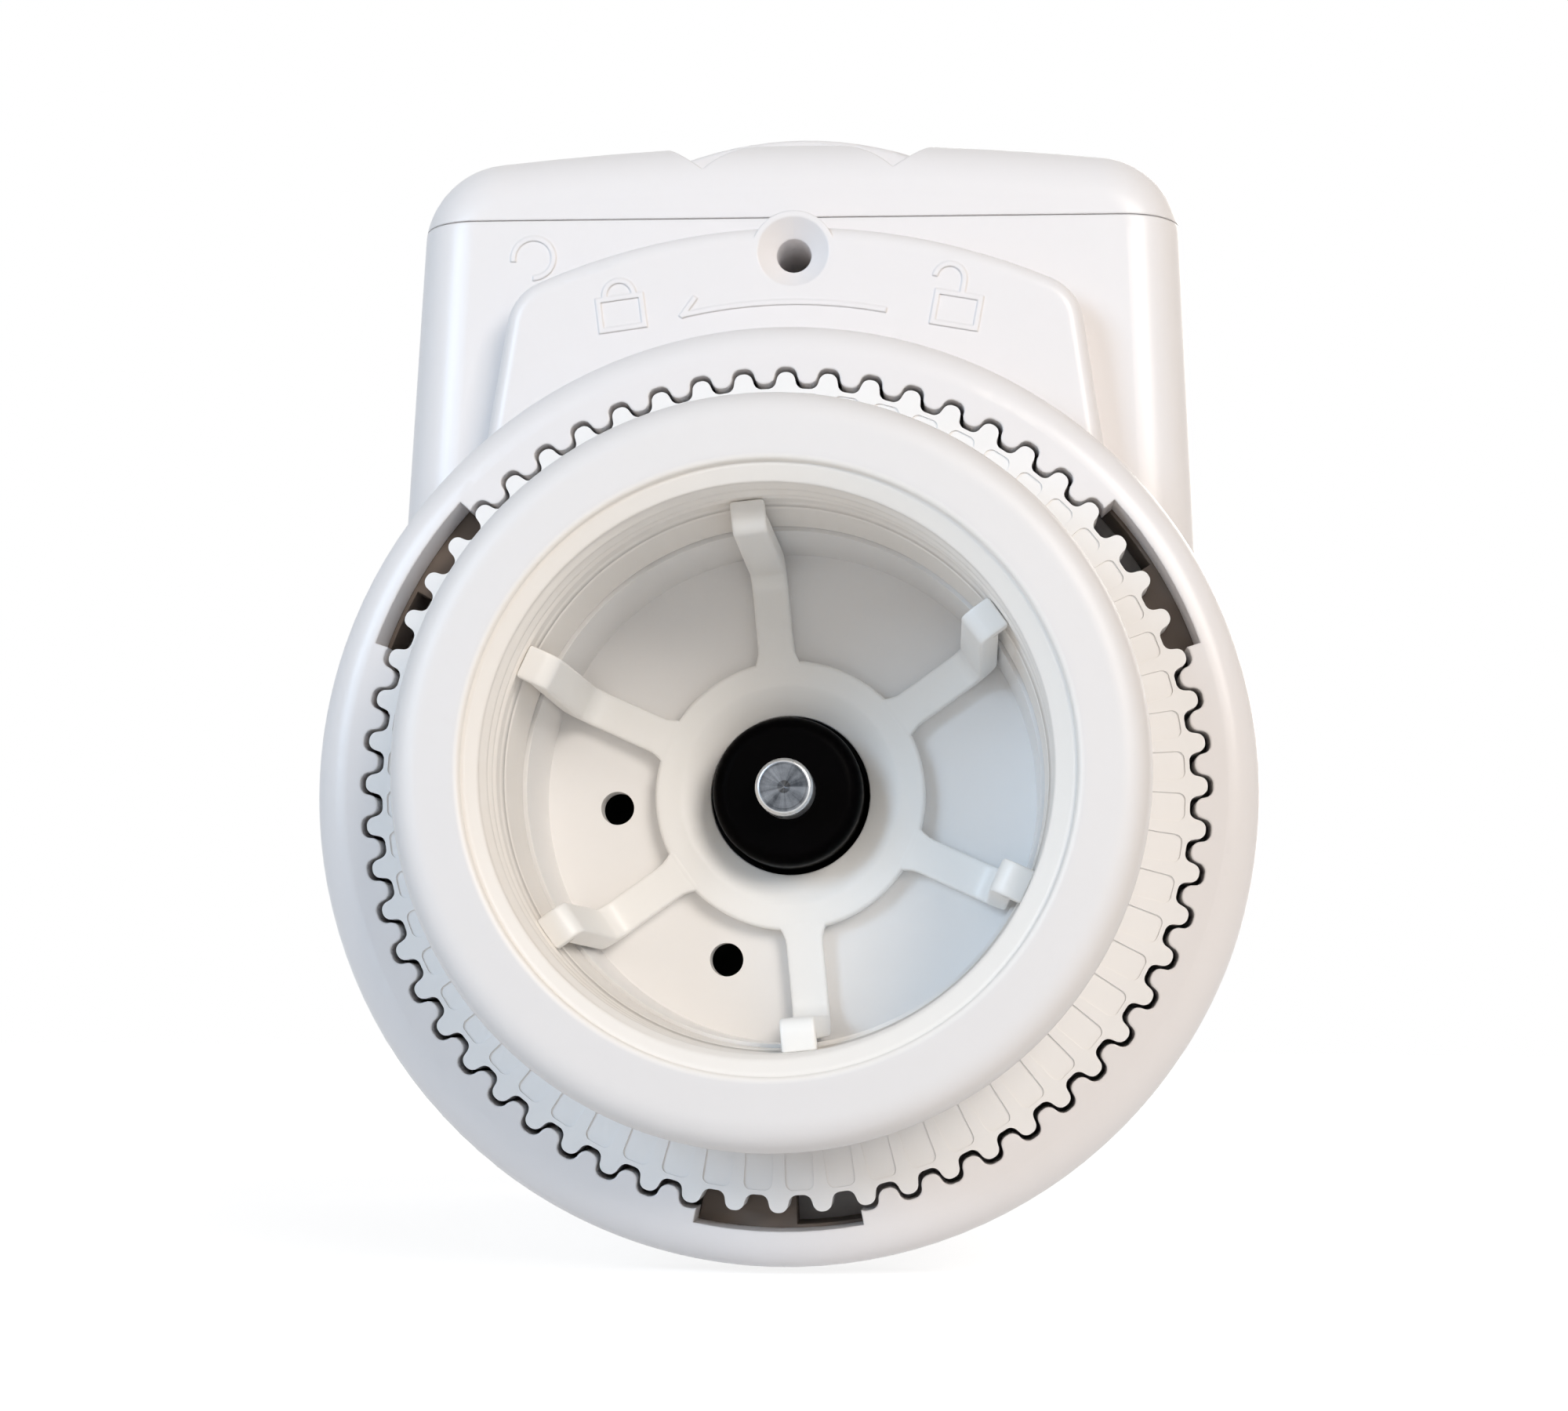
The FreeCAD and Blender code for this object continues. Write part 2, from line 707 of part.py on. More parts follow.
def battery_tray():
    tray = block(2 * (cell_x + cell_radius + 1.5), 23.2, 77.9, cell_z - 8.4, cell_z - 0.5)
    troughs = [cylinder(cell_radius + 0.3, 24.0, 77.1, x, cell_z) for x in (-cell_x, cell_x)]
    return tray.cut(Part.makeCompound(troughs))


def contact_plates():
    plates = []
    for x in (-cell_x, cell_x):
        for start in (24.05, 76.65):
            plates.append(cylinder(4.5, start, start + 0.4, x, cell_z))
    return Part.makeCompound(plates)


def contact_springs():
    """Tapered contact springs against the cells' flat ends, drawn as stacked turns."""
    springs = []
    for x, start, step in ((-cell_x, 76.6, -1), (cell_x, 24.5, 1)):
        turns = []
        for k in range(3):
            radius = 3.6 - 0.7 * k
            low = start + step * 0.35 * k
            if step < 0:
                low = low - 0.35
            turns.append(tube(radius + 0.4, radius - 0.45, low, low + 0.35, x, cell_z))
        springs.append(turns[0].fuse(turns[1:]))
    return Part.makeCompound(springs)


def involute(angle):
    return math.tan(angle) - angle


def gear(teeth, start, end, x, z, phase):
    """A spur gear with involute flanks; a tooth is centred on the phase angle."""
    pitch = gear_module * teeth / 2
    base = pitch * math.cos(pressure)
    tip = pitch + addendum * gear_module
    root = pitch - dedendum * gear_module
    half_pitch = (math.pi * gear_module / 2 - backlash) / (2 * pitch) + involute(pressure)
    flank = []
    steps = 5
    low = max(base, root)
    for i in range(steps + 1):
        radius = low + (tip - low) * i / steps
        half = half_pitch - involute(math.acos(min(1.0, base / radius)))
        flank.append((radius, half))
    if root < base:
        flank.insert(0, (root, flank[0][1]))
    points = []
    for k in range(teeth):
        middle = math.radians(phase) + 2 * math.pi * k / teeth
        for radius, half in flank:
            points.append(at(radius, math.degrees(middle - half), start))
        for radius, half in reversed(flank):
            points.append(at(radius, math.degrees(middle + half), start))
    points.append(points[0])
    solid = Part.Face(Part.makePolygon(points)).extrude(V(0, end - start, 0))
    return placed(solid, x, z)


def mesh_phase(teeth, phase, direction, next_teeth):
    """The phase of a gear that meshes with one of given phase, along a direction angle."""
    share = (direction - phase) * teeth / 360.0
    return direction + 180.0 - (0.5 - share) * 360.0 / next_teeth


# Places of the gear train, seen from the valve: output gear, second gear, first gear, motor pinion.
wheel_gap = gear_module * (wheel_teeth + pinion_teeth) / 2
output_gap = gear_module * (output_teeth + pinion_teeth) / 2
second_at = at(output_gap, second_angle, 0)
first_at = second_at + at(wheel_gap, first_angle, 0)
motor_at = first_at + at(wheel_gap, motor_angle, 0)
second_pinion_phase = mesh_phase(output_teeth, 0.0, second_angle, pinion_teeth)
first_pinion_phase = mesh_phase(wheel_teeth, 0.0, first_angle, pinion_teeth)
motor_phase = mesh_phase(wheel_teeth, 0.0, motor_angle, pinion_teeth)


def plunger_cap():
    """The black plunger: a keyed sleeve that the spindle moves along the valve axis."""
    sleeve = turned([(0, plunger_front, 0), (plunger_radius, plunger_front, 0.9),
                     (plunger_radius, plunger_back, 0.2), (0, plunger_back, 0)])
    keys = block(2 * (plunger_radius + 0.8), 26.0, plunger_back - 1.0, -0.75, 0.75)
    solid = sleeve.fuse(keys)
    cuts = [cylinder(screw_bore, 22.8, plunger_back + 1), cylinder(pin_radius, plunger_front - 1, pin_back)]
    return solid.cut(Part.makeCompound(cuts))


def plunger_pin():
    pin = turned([(0, pin_tip, 0), (pin_radius, pin_tip, 0.3), (pin_radius, pin_back, 0), (0, pin_back, 0)])
    ring = tube(1.3, 1.2, pin_tip - 1, pin_tip + 0.12)
    pip = Part.makeCone(0.35, 0.05, 0.2, V(0, pin_tip, 0), V(0, 1, 0))
    return pin.cut(Part.makeCompound([ring, pip]))


def spindle():
    """The lead screw with its shoulder and rear journal; its thread is drawn as close rings."""
    shaft = turned([(0, 23.8, 0), (2.4, 23.8, 0.4), (2.4, 37.6, 0), (3.2, 37.6, 0), (3.2, output_front, 0),
                    (2.0, output_front, 0), (2.0, output_front + 3.4, 0), (3.0, output_front + 3.4, 0),
                    (3.0, 48.6, 0), (1.5, 48.6, 0), (1.5, plate_rear + 1.6, 0.2), (0, plate_rear + 1.6, 0)])
    grooves = [tube(3.0, 2.05, 24.6 + 1.5 * k, 25.2 + 1.5 * k) for k in range(8)]
    return shaft.cut(Part.makeCompound(grooves))


def output_gear():
    solid = gear(output_teeth, output_front + 0.2, output_front + 3.2, 0, 0, 0.0)
    return solid.cut(cylinder(2.0, output_front - 1, output_front + 5))


def thrust_washer():
    return tube(3.4, 1.7, 48.65, plate_rear)


def compound_gear(place, wheel_front, pinion_front, pinion_phase):
    """A wheel and a pinion moulded in one, turning on a fixed axle."""
    wheel = gear(wheel_teeth, wheel_front, wheel_front + gear_width, place.x, place.z, 0.0)
    pinion = gear(pinion_teeth, pinion_front, wheel_front + 0.2, place.x, place.z, pinion_phase)
    hub = cylinder(2.0, wheel_front + gear_width - 0.2, wheel_front + gear_width + 0.5, place.x, place.z)
    solid = wheel.fuse([pinion, hub])
    return solid.cut(cylinder(axle_radius + axle_gap, frame_back, plate_rear, place.x, place.z))


def motor_pinion():
    solid = gear(pinion_teeth, first_front - 0.2, first_front + 2.6, motor_at.x, motor_at.z, motor_phase)
    return solid.cut(cylinder(shaft_radius, first_front - 1, first_front + 4, motor_at.x, motor_at.z))


def motor_shaft():
    return cylinder(shaft_radius, first_front - 0.6, shaft_end, motor_at.x, motor_at.z)


def motor_can():
    """A small motor with two flats and an open shaft bore."""
    end = motor_front + motor_length
    body = cylinder(motor_radius, motor_front, end, motor_at.x, motor_at.z)
    body = body.common(block(3 * motor_radius, motor_front, end,
                             motor_at.z - motor_flat, motor_at.z + motor_flat, motor_at.x))
    return body.cut(cylinder(shaft_radius + 0.06, motor_front - 1, shaft_end + 0.3, motor_at.x, motor_at.z))


def motor_terminals():
    start = motor_front + motor_length
    tabs = [block(1.6, start, start + 2.5, motor_at.z - 0.2, motor_at.z + 0.2, motor_at.x + side)
            for side in (-terminal_spread, terminal_spread)]
    return Part.makeCompound(tabs)


def axle_pins():
    pins = [cylinder(axle_radius, frame_back - 1.5, plate_rear + 1.5, place.x, place.z)
            for place in (second_at, first_at)]
    return Part.makeCompound(pins)


def drive_frame():
    """Front gear plate with the plunger's keyed guide, spacer posts and legs to the housing's wall."""
    plate = prism(deck_inset, frame_front, frame_back)
    plate = plate.common(block(80, 0, 90, -40, deck_top))
    guide = cylinder(plunger_radius + guide_gap + 1.8, 23.3, frame_front + 0.5)
    solid = plate.fuse(guide)
    for x, z in post_places:
        solid = solid.fuse(cylinder(post_radius, frame_back - 0.5, plate_rear, x, z))
    for angle in leg_angles:
        place = at(leg_circle, angle, 0)
        solid = solid.fuse(cylinder(leg_radius, back + wall, frame_front + 0.5, place.x, place.z))
    cuts = [cylinder(plunger_radius + guide_gap, 20, frame_back + 1),
            block(2 * (plunger_radius + 1.1), 20, frame_back + 1, -0.9, 0.9)]
    for place in (second_at, first_at):
        cuts.append(cylinder(axle_radius, frame_back - 1.5, frame_back + 1, place.x, place.z))
    for x, z in post_places:
        cuts.append(cylinder(post_bore, plate_rear - 5, plate_rear + 1, x, z))
    return solid.cut(Part.makeCompound(cuts))


def gear_plate():
    """Rear gear plate, which carries the motor and the spindle's journal."""
    plate = prism(deck_inset, plate_rear, plate_rear + plate_thick)
    plate = plate.common(block(80, 0, 90, -40, deck_top))
    cuts = [cylinder(1.56, plate_rear - 1, plate_rear + 5),
            cylinder(1.6, plate_rear - 1, plate_rear + 5, motor_at.x, motor_at.z)]
    for place in (second_at, first_at):
        cuts.append(cylinder(axle_radius, plate_rear - 1, plate_rear + 1.5, place.x, place.z))
    for x, z in post_places:
        cuts.append(cylinder(post_bore, plate_rear - 1, plate_rear + 5, x, z))
    return plate.cut(Part.makeCompound(cuts))


def drive_screws():
    screws = []
    top = plate_rear + plate_thick
    for x, z in post_places:
        head = cylinder(post_head, top, top + 1.3, x, z).cut(block(0.5, top + 0.7, top + 2, z - 2, z + 2, x))
        screws.append(head.fuse(cylinder(post_bore, plate_rear - 5, top + 0.3, x, z)))
    return Part.makeCompound(screws)


def main():
    form = envelope()
    parts = {
        "union_nut": union_nut(),
        "toothed_carrier": toothed_carrier(),
        "retaining_spider": retaining_spider(),
        "mounting_base": mounting_base(),
        "base_screws": base_screws(),
        "lock_ring": lock_ring(),
        "main_housing": main_housing(form),
        "battery_cover": battery_cover(form),
        "front_fascia": front_fascia(form),
        "display_window": display_window(),
        "lcd_module": lcd_module(),
        "backlight_frame": backlight_frame(),
        "circuit_board": circuit_board(),
        "board_chips": board_chips(),
        "radio_module": radio_module(),
        "tact_switches": tact_switches(),
        "temperature_sensor": temperature_sensor(),
        "minus_button": button(button_pitch),
        "menu_button": button(0.0),
        "plus_button": button(-button_pitch),
        "battery_left": cell(-cell_x, False),
        "battery_right": cell(cell_x, True),
        "battery_tray": battery_tray(),
        "contact_plates": contact_plates(),
        "contact_springs": contact_springs(),
        "plunger_cap": plunger_cap(),
        "plunger_pin": plunger_pin(),
        "spindle": spindle(),
        "output_gear": output_gear(),
        "thrust_washer": thrust_washer(),
        "second_gear": compound_gear(second_at, second_front, output_front, second_pinion_phase),
        "first_gear": compound_gear(first_at, first_front, second_front, first_pinion_phase),
        "motor_pinion": motor_pinion(),
        "motor_shaft": motor_shaft(),
        "motor_can": motor_can(),
        "motor_terminals": motor_terminals(),
        "axle_pins": axle_pins(),
        "drive_frame": drive_frame(),
        "gear_plate": gear_plate(),
        "drive_screws": drive_screws(),
    }
    os.makedirs("parts", exist_ok=True)
    for name, shape in parts.items():
        shape.exportStep("parts/" + name + ".step")


main()
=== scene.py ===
import math

import bmesh
import bpy
import numpy as np
from mathutils import Matrix, Vector


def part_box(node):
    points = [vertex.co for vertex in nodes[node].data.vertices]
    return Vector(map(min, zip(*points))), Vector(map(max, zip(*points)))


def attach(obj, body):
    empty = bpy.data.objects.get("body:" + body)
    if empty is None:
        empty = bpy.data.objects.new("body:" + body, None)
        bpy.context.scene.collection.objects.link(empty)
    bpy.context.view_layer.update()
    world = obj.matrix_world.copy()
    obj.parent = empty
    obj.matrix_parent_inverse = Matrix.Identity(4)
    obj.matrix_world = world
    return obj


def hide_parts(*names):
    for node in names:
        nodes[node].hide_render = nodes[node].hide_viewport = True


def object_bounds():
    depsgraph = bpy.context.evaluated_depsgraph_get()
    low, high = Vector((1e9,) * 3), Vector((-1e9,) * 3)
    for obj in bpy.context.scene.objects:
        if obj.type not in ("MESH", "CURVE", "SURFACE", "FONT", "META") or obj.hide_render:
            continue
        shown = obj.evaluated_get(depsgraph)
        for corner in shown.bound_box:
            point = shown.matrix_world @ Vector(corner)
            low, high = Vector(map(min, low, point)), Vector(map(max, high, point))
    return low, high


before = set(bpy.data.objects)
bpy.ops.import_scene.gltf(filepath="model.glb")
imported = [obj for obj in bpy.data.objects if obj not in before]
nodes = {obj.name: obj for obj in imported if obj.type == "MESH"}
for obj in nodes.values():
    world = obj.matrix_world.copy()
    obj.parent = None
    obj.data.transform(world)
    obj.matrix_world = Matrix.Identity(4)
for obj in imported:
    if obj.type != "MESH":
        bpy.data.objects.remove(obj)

# A motorised actuator head for a radiator valve, seen from the side that screws on to the valve.
# Metres; the valve axis is Y, the union nut's mouth faces -Y and +Z is up.

scene = bpy.context.scene
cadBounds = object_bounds()
mm = 0.001
print("frame loaded,", len(nodes), "nodes")


def middleOf(node):
    low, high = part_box(node)
    return (low + high) / 2


# camera

cameraValues = {
    "place": (0.009636, -0.12942, -0.0121),
    "yaw": -0.0682,      # radians, to the right of straight on
    "pitch": 0.1162,     # radians, looking up
    "roll": 0.0090,
    "lens": 59.98,       # mm on a 36 mm sensor
}


def addCamera(values):
    yaw, pitch, roll = values["yaw"], values["pitch"], values["roll"]
    forward = Vector((math.sin(yaw) * math.cos(pitch), math.cos(yaw) * math.cos(pitch), math.sin(pitch)))
    level = Vector((math.cos(yaw), -math.sin(yaw), 0))
    upright = level.cross(forward)
    right = level * math.cos(roll) + upright * math.sin(roll)
    up = upright * math.cos(roll) - level * math.sin(roll)
    data = bpy.data.cameras.new("camera")
    data.lens = values["lens"]
    data.sensor_width = 36.0
    data.clip_start = 0.005
    camera = bpy.data.objects.new("camera", data)
    camera.matrix_world = Matrix((
        (right.x, up.x, -forward.x, values["place"][0]),
        (right.y, up.y, -forward.y, values["place"][1]),
        (right.z, up.z, -forward.z, values["place"][2]),
        (0, 0, 0, 1)))
    scene.collection.objects.link(camera)
    scene.camera = camera


addCamera(cameraValues)
scene.view_settings.view_transform = "Standard"
print("camera placed")


# node helpers

def linearColour(code):
    # sRGB hex to linear: each channel c becomes c/12.92 below 0.04045, else ((c + 0.055)/1.055) to the 2.4
    channels = [int(code[i:i + 2], 16) / 255 for i in (0, 2, 4)]
    return [c / 12.92 if c <= 0.04045 else ((c + 0.055) / 1.055) ** 2.4 for c in channels] + [1.0]


def addNode(tree, kind, settings=None, links=None):
    # settings are the node's own properties or, by name or number, its input sockets;
    # links join outputs to inputs
    node = tree.nodes.new(kind)
    for name, value in (settings or {}).items():
        if isinstance(name, str) and hasattr(node, name):
            setattr(node, name, value)
        else:
            node.inputs[name].default_value = value
    for name, source in (links or {}).items():
        tree.links.new(source, node.inputs[name])
    return node


def startMaterial(name):
    material = bpy.data.materials.new(name)
    material.use_nodes = True
    tree = material.node_tree
    tree.nodes.clear()
    where = addNode(tree, "ShaderNodeTexCoord").outputs["Object"]
    return material, tree, where


def finishMaterial(tree, shader):
    addNode(tree, "ShaderNodeOutputMaterial", links={"Surface": shader.outputs[0]})


# moulded plastics

cloudSize = 14.0     # mm, the slow drift of a moulding's colour and gloss


def mouldedPlastic(values):
    # Injection moulding leaves the tool's fine grain, a slow ripple from shrinkage and softly rounded edges.
    material, tree, where = startMaterial(values["name"])
    grain = addNode(tree, "ShaderNodeTexNoise", {"Scale": 1000 / values["grain"], "Detail": 3.0},
                    {"Vector": where})
    ripple = addNode(tree, "ShaderNodeTexNoise", {"Scale": 1000 / values["ripple"], "Detail": 1.0},
                     {"Vector": where})
    cloud = addNode(tree, "ShaderNodeTexNoise",
                    {"Scale": 1000 / cloudSize, "Detail": 4.0, "Roughness": 0.6}, {"Vector": where})
    share = addNode(tree, "ShaderNodeMapRange", {"From Min": 0.2, "From Max": 0.8},
                    {"Value": cloud.outputs["Fac"]})
    colour = addNode(tree, "ShaderNodeMix", {"data_type": "RGBA"}, {0: share.outputs["Result"]})
    colour.inputs[6].default_value = linearColour(values["colour"])
    colour.inputs[7].default_value = linearColour(values["shade"])
    # inside the bore radius the colour is painted paler: painted light on the bore wall and thread
    if "bore" in values:
        flat = addNode(tree, "ShaderNodeVectorMath", {"operation": "MULTIPLY", 1: (1, 0, 1)}, {0: where})
        radius = addNode(tree, "ShaderNodeVectorMath", {"operation": "LENGTH"}, {0: flat.outputs["Vector"]})
        outsidePaintedBoreLight = addNode(tree, "ShaderNodeMapRange",
                          {"From Min": (values["bore"] - 0.25) * mm, "From Max": values["bore"] * mm},
                          {"Value": radius.outputs["Value"]})
        skin = colour
        colour = addNode(tree, "ShaderNodeMix", {"data_type": "RGBA"},
                         {0: outsidePaintedBoreLight.outputs["Result"], 7: skin.outputs[2]})
        colour.inputs[6].default_value = linearColour(values["boreColour"])
    rough = addNode(tree, "ShaderNodeMapRange",
                    {"From Min": 0.2, "From Max": 0.8, "To Min": values["roughness"] - 0.02,
                     "To Max": values["roughness"] + 0.03}, {"Value": cloud.outputs["Fac"]})
    edge = addNode(tree, "ShaderNodeBevel", {"samples": 6, "Radius": values["edge"] * mm})
    slow = addNode(tree, "ShaderNodeBump", {"Strength": 1.0, "Distance": values["rippleDepth"] * mm},
                   {"Height": ripple.outputs["Fac"], "Normal": edge.outputs["Normal"]})
    fine = addNode(tree, "ShaderNodeBump", {"Strength": 1.0, "Distance": values["grainDepth"] * mm},
                   {"Height": grain.outputs["Fac"], "Normal": slow.outputs["Normal"]})
    shader = addNode(tree, "ShaderNodeBsdfPrincipled",
                     {"IOR": values["ior"], "Specular IOR Level": values["specular"],
                      "Subsurface Weight": values["scatter"], "Subsurface Radius": (1.0, 0.8, 0.6),
                      "Subsurface Scale": 0.6 * mm},
                     {"Base Color": colour.outputs[2], "Roughness": rough.outputs["Result"],
                      "Normal": fine.outputs["Normal"]})
    finishMaterial(tree, shader)
    return material


plastics = {
    # ABS off a polished tool: clean soft highlights along the rounded edges
    "glossAbs": {"name": "gloss moulded ABS", "colour": "efebea", "shade": "ede9e8", "roughness": 0.31,
                 "grain": 0.45, "grainDepth": 0.0015, "ripple": 6.0, "rippleDepth": 0.006, "edge": 0.18,
                 "ior": 1.53, "specular": 0.45, "scatter": 0.0},
    # the nut's tool is finer blasted, so its face is satin and even; inside the bore radius the colour is
    # painted paler, a painted light on the bore wall
    "satinNut": {"name": "satin moulded polyamide nut", "colour": "e9e5e3", "shade": "e7e3e1",
                 "bore": 15.7, "boreColour": "f9f4ee",
                 "roughness": 0.42, "grain": 0.3, "grainDepth": 0.003, "ripple": 8.0, "rippleDepth": 0.006,
                 "edge": 0.25, "ior": 1.53, "specular": 0.45, "scatter": 0.0},
    # the toothed carrier, a little rougher than the shell
    "satinCarrier": {"name": "satin moulded POM carrier", "colour": "f7f5f3", "shade": "f3f1ef",
                     "roughness": 0.38, "grain": 0.3, "grainDepth": 0.002, "ripple": 5.0,
                     "rippleDepth": 0.005, "edge": 0.02, "ior": 1.48, "specular": 0.45, "scatter": 0.0},
    # unfilled nylon: cream, slightly see-through, which softens its edges
    "naturalNylon": {"name": "natural moulded nylon", "colour": "fcfbf9", "shade": "f9f7f3",
                     "roughness": 0.4, "grain": 0.4, "grainDepth": 0.003, "ripple": 2.5,
                     "rippleDepth": 0.01, "edge": 0.06, "ior": 1.53, "specular": 0.45, "scatter": 0.0},
    # carbon black acetal: nearly black with a dull sheen on its rounded rim
    "blackAcetal": {"name": "black moulded acetal", "colour": "020202", "shade": "040304",
                    "roughness": 0.36, "grain": 0.35, "grainDepth": 0.003, "ripple": 2.0,
                    "rippleDepth": 0.004, "edge": 0.1, "ior": 1.48, "specular": 0.02, "scatter": 0.0},
    "gearAcetal": {"name": "ivory moulded acetal gear", "colour": "e8e2d2", "shade": "ddd6c4",
                   "roughness": 0.34, "grain": 0.3, "grainDepth": 0.002, "ripple": 3.0,
                   "rippleDepth": 0.003, "edge": 0.06, "ior": 1.48, "specular": 0.5, "scatter": 0.1},
    # the lock ring is only seen down in the windows, where it sits in shade: its dull brown-grey is painted
    # shade
    "paintedShadeAcetal": {"name": "moulded acetal lock ring in painted shade", "colour": "897c72", "shade": "82756b",
                    "roughness": 0.45, "grain": 0.3, "grainDepth": 0.002, "ripple": 3.0,
                    "rippleDepth": 0.004, "edge": 0.12, "ior": 1.48, "specular": 0.3, "scatter": 0.0},
    # glass-filled nylon: dark grey with a coarse dull grain
    "filledNylon": {"name": "glass filled nylon frame", "colour": "4a4d50", "shade": "3f4245",
                    "roughness": 0.55, "grain": 0.25, "grainDepth": 0.008, "ripple": 4.0,
                    "rippleDepth": 0.01, "edge": 0.12, "ior": 1.53, "specular": 0.4, "scatter": 0.0},
    "epoxyMould": {"name": "transfer moulded epoxy package", "colour": "1d1d1f", "shade": "262628",
                   "roughness": 0.5, "grain": 0.12, "grainDepth": 0.004, "ripple": 2.0,
                   "rippleDepth": 0.002, "edge": 0.08, "ior": 1.55, "specular": 0.4, "scatter": 0.0},
    # elastomer key caps: matt light grey
    "keyRubber": {"name": "matt moulded silicone key", "colour": "c9cccf", "shade": "c2c5c9",
                  "roughness": 0.58, "grain": 0.22, "grainDepth": 0.006, "ripple": 4.0,
                  "rippleDepth": 0.006, "edge": 0.15, "ior": 1.43, "specular": 0.4, "scatter": 0.0},
    "printInk": {"name": "pad printed grey ink", "colour": "55595e", "shade": "4d5156",
                 "roughness": 0.5, "grain": 0.1, "grainDepth": 0.002, "ripple": 2.0,
                 "rippleDepth": 0.001, "edge": 0.02, "ior": 1.5, "specular": 0.4, "scatter": 0.0},
}


# metals

def workedMetal(values):
    # Fine rings about the piece's own axis and along it, as a lathe or a draw die leaves them, and a painted
    # fan of
    # lighter and darker rays on a turned end: painted highlight and shade for the way a turned face reflects.
    material, tree, where = startMaterial(values["name"])
    centre = values["centre"]
    local = addNode(tree, "ShaderNodeMapping", {"Location": (-centre[0], 0, -centre[2])}, {"Vector": where})
    parts = addNode(tree, "ShaderNodeSeparateXYZ", links={"Vector": local.outputs["Vector"]})
    flat = addNode(tree, "ShaderNodeCombineXYZ", links={"X": parts.outputs["X"], "Z": parts.outputs["Z"]})
    radius = addNode(tree, "ShaderNodeVectorMath", {"operation": "LENGTH"}, {0: flat.outputs["Vector"]})
    rings = addNode(tree, "ShaderNodeTexNoise",
                    {"noise_dimensions": "1D", "Scale": 1000 / values["spacing"], "Detail": 2.0},
                    {"W": radius.outputs["Value"]})
    along = addNode(tree, "ShaderNodeTexNoise",
                    {"noise_dimensions": "1D", "Scale": 1000 / values["spacing"], "Detail": 2.0},
                    {"W": parts.outputs["Y"]})
    # outside the face radius the wall colour takes over: on the turned pin it is a painted highlight on the
    # edge
    wallToneAndHighlightShare = addNode(tree, "ShaderNodeMapRange",
                  {"From Min": (values["face"] - 0.03) * mm, "From Max": (values["face"] + 0.03) * mm},
                  {"Value": radius.outputs["Value"]})
    marks = addNode(tree, "ShaderNodeMath", {"operation": "ADD"},
                    {0: rings.outputs["Fac"], 1: along.outputs["Fac"]})
    stain = addNode(tree, "ShaderNodeTexNoise", {"Scale": 1000 / 1.5, "Detail": 5.0, "Roughness": 0.65},
                    {"Vector": where})
    # rays of lighter and darker colour by angle round the axis, mixed with the stain: painted highlight and
    # shade
    turn = addNode(tree, "ShaderNodeMath", {"operation": "ARCTAN2"},
                   {0: parts.outputs["Z"], 1: parts.outputs["X"]})
    paintedFanHighlight = addNode(tree, "ShaderNodeTexNoise", {"noise_dimensions": "1D", "Scale": 1.6, "Detail": 4.0},
                  {"W": turn.outputs["Value"]})
    both = addNode(tree, "ShaderNodeMath", {"operation": "ADD"},
                   {0: paintedFanHighlight.outputs["Fac"], 1: stain.outputs["Fac"]})
    stainAndFanHighlight = addNode(tree, "ShaderNodeMapRange", {"From Min": 0.75, "From Max": 1.25},
                     {"Value": both.outputs["Value"]})
    colour = addNode(tree, "ShaderNodeMix", {"data_type": "RGBA"}, {0: stainAndFanHighlight.outputs["Result"]})
    colour.inputs[6].default_value = linearColour(values["colour"])
    colour.inputs[7].default_value = linearColour(values["shade"])
    tone = addNode(tree, "ShaderNodeMix", {"data_type": "RGBA"},
                   {0: wallToneAndHighlightShare.outputs["Result"], 6: colour.outputs[2]})
    tone.inputs[7].default_value = linearColour(values["wall"])
    rough = addNode(tree, "ShaderNodeMapRange",
                    {"From Min": 0.3, "From Max": 0.7, "To Min": values["roughness"] - 0.06,
                     "To Max": values["roughness"] + 0.08}, {"Value": stain.outputs["Fac"]})
    bump = addNode(tree, "ShaderNodeBump", {"Strength": 1.0, "Distance": values["depth"] * mm},
                   {"Height": marks.outputs["Value"]})
    shader = addNode(tree, "ShaderNodeBsdfPrincipled", {"Metallic": 1.0},
                     {"Base Color": tone.outputs[2], "Roughness": rough.outputs["Result"],
                      "Normal": bump.outputs["Normal"]})
    finishMaterial(tree, shader)
    return material


metals = {
    # the pin's end is faced on a lathe: dull grey with fine rings and a painted fan of highlight and shade,
    # inside a painted highlight on its turned edge
    "turnedSteel": {"name": "turned stainless steel", "colour": "8d9197", "shade": "3d4045", "wall": "dfe1e3",
                    "face": 1.38, "roughness": 0.3, "spacing": 0.12, "depth": 0.008, "centre": (0, 0, 0)},
    "drawnSteel": {"name": "drawn bright steel", "colour": "9a9da1", "shade": "85888c", "wall": "94979b",
                   "face": 2.0, "roughness": 0.3, "spacing": 0.2, "depth": 0.002, "centre": (0, 0, 0)},
    "turnedBrass": {"name": "turned brass", "colour": "c9a35a", "shade": "b48d48", "wall": "c39c52",
                    "face": 2.0, "roughness": 0.28, "spacing": 0.15, "depth": 0.003, "centre": (0, 0, 0)},
    "zincSteel": {"name": "zinc plated deep drawn steel", "colour": "b3b6ba", "shade": "9ea2a7",
                  "wall": "aaadb1", "face": 5.0, "roughness": 0.38, "spacing": 0.5, "depth": 0.003,
                  "centre": tuple(middleOf("motor_can"))},
    "tinPlate": {"name": "tin plated spring steel", "colour": "bdbfc1", "shade": "a7a9ac", "wall": "b5b7b9",
                 "face": 2.0, "roughness": 0.33, "spacing": 0.3, "depth": 0.002, "centre": (0, 0, 0)},
}


# board, display and cells

boardValues = {"mask": "1f6b3a", "copper": "2f8650", "tin": "b9bcb8", "trackPitch": 1.27, "viaPitch": 2.54}


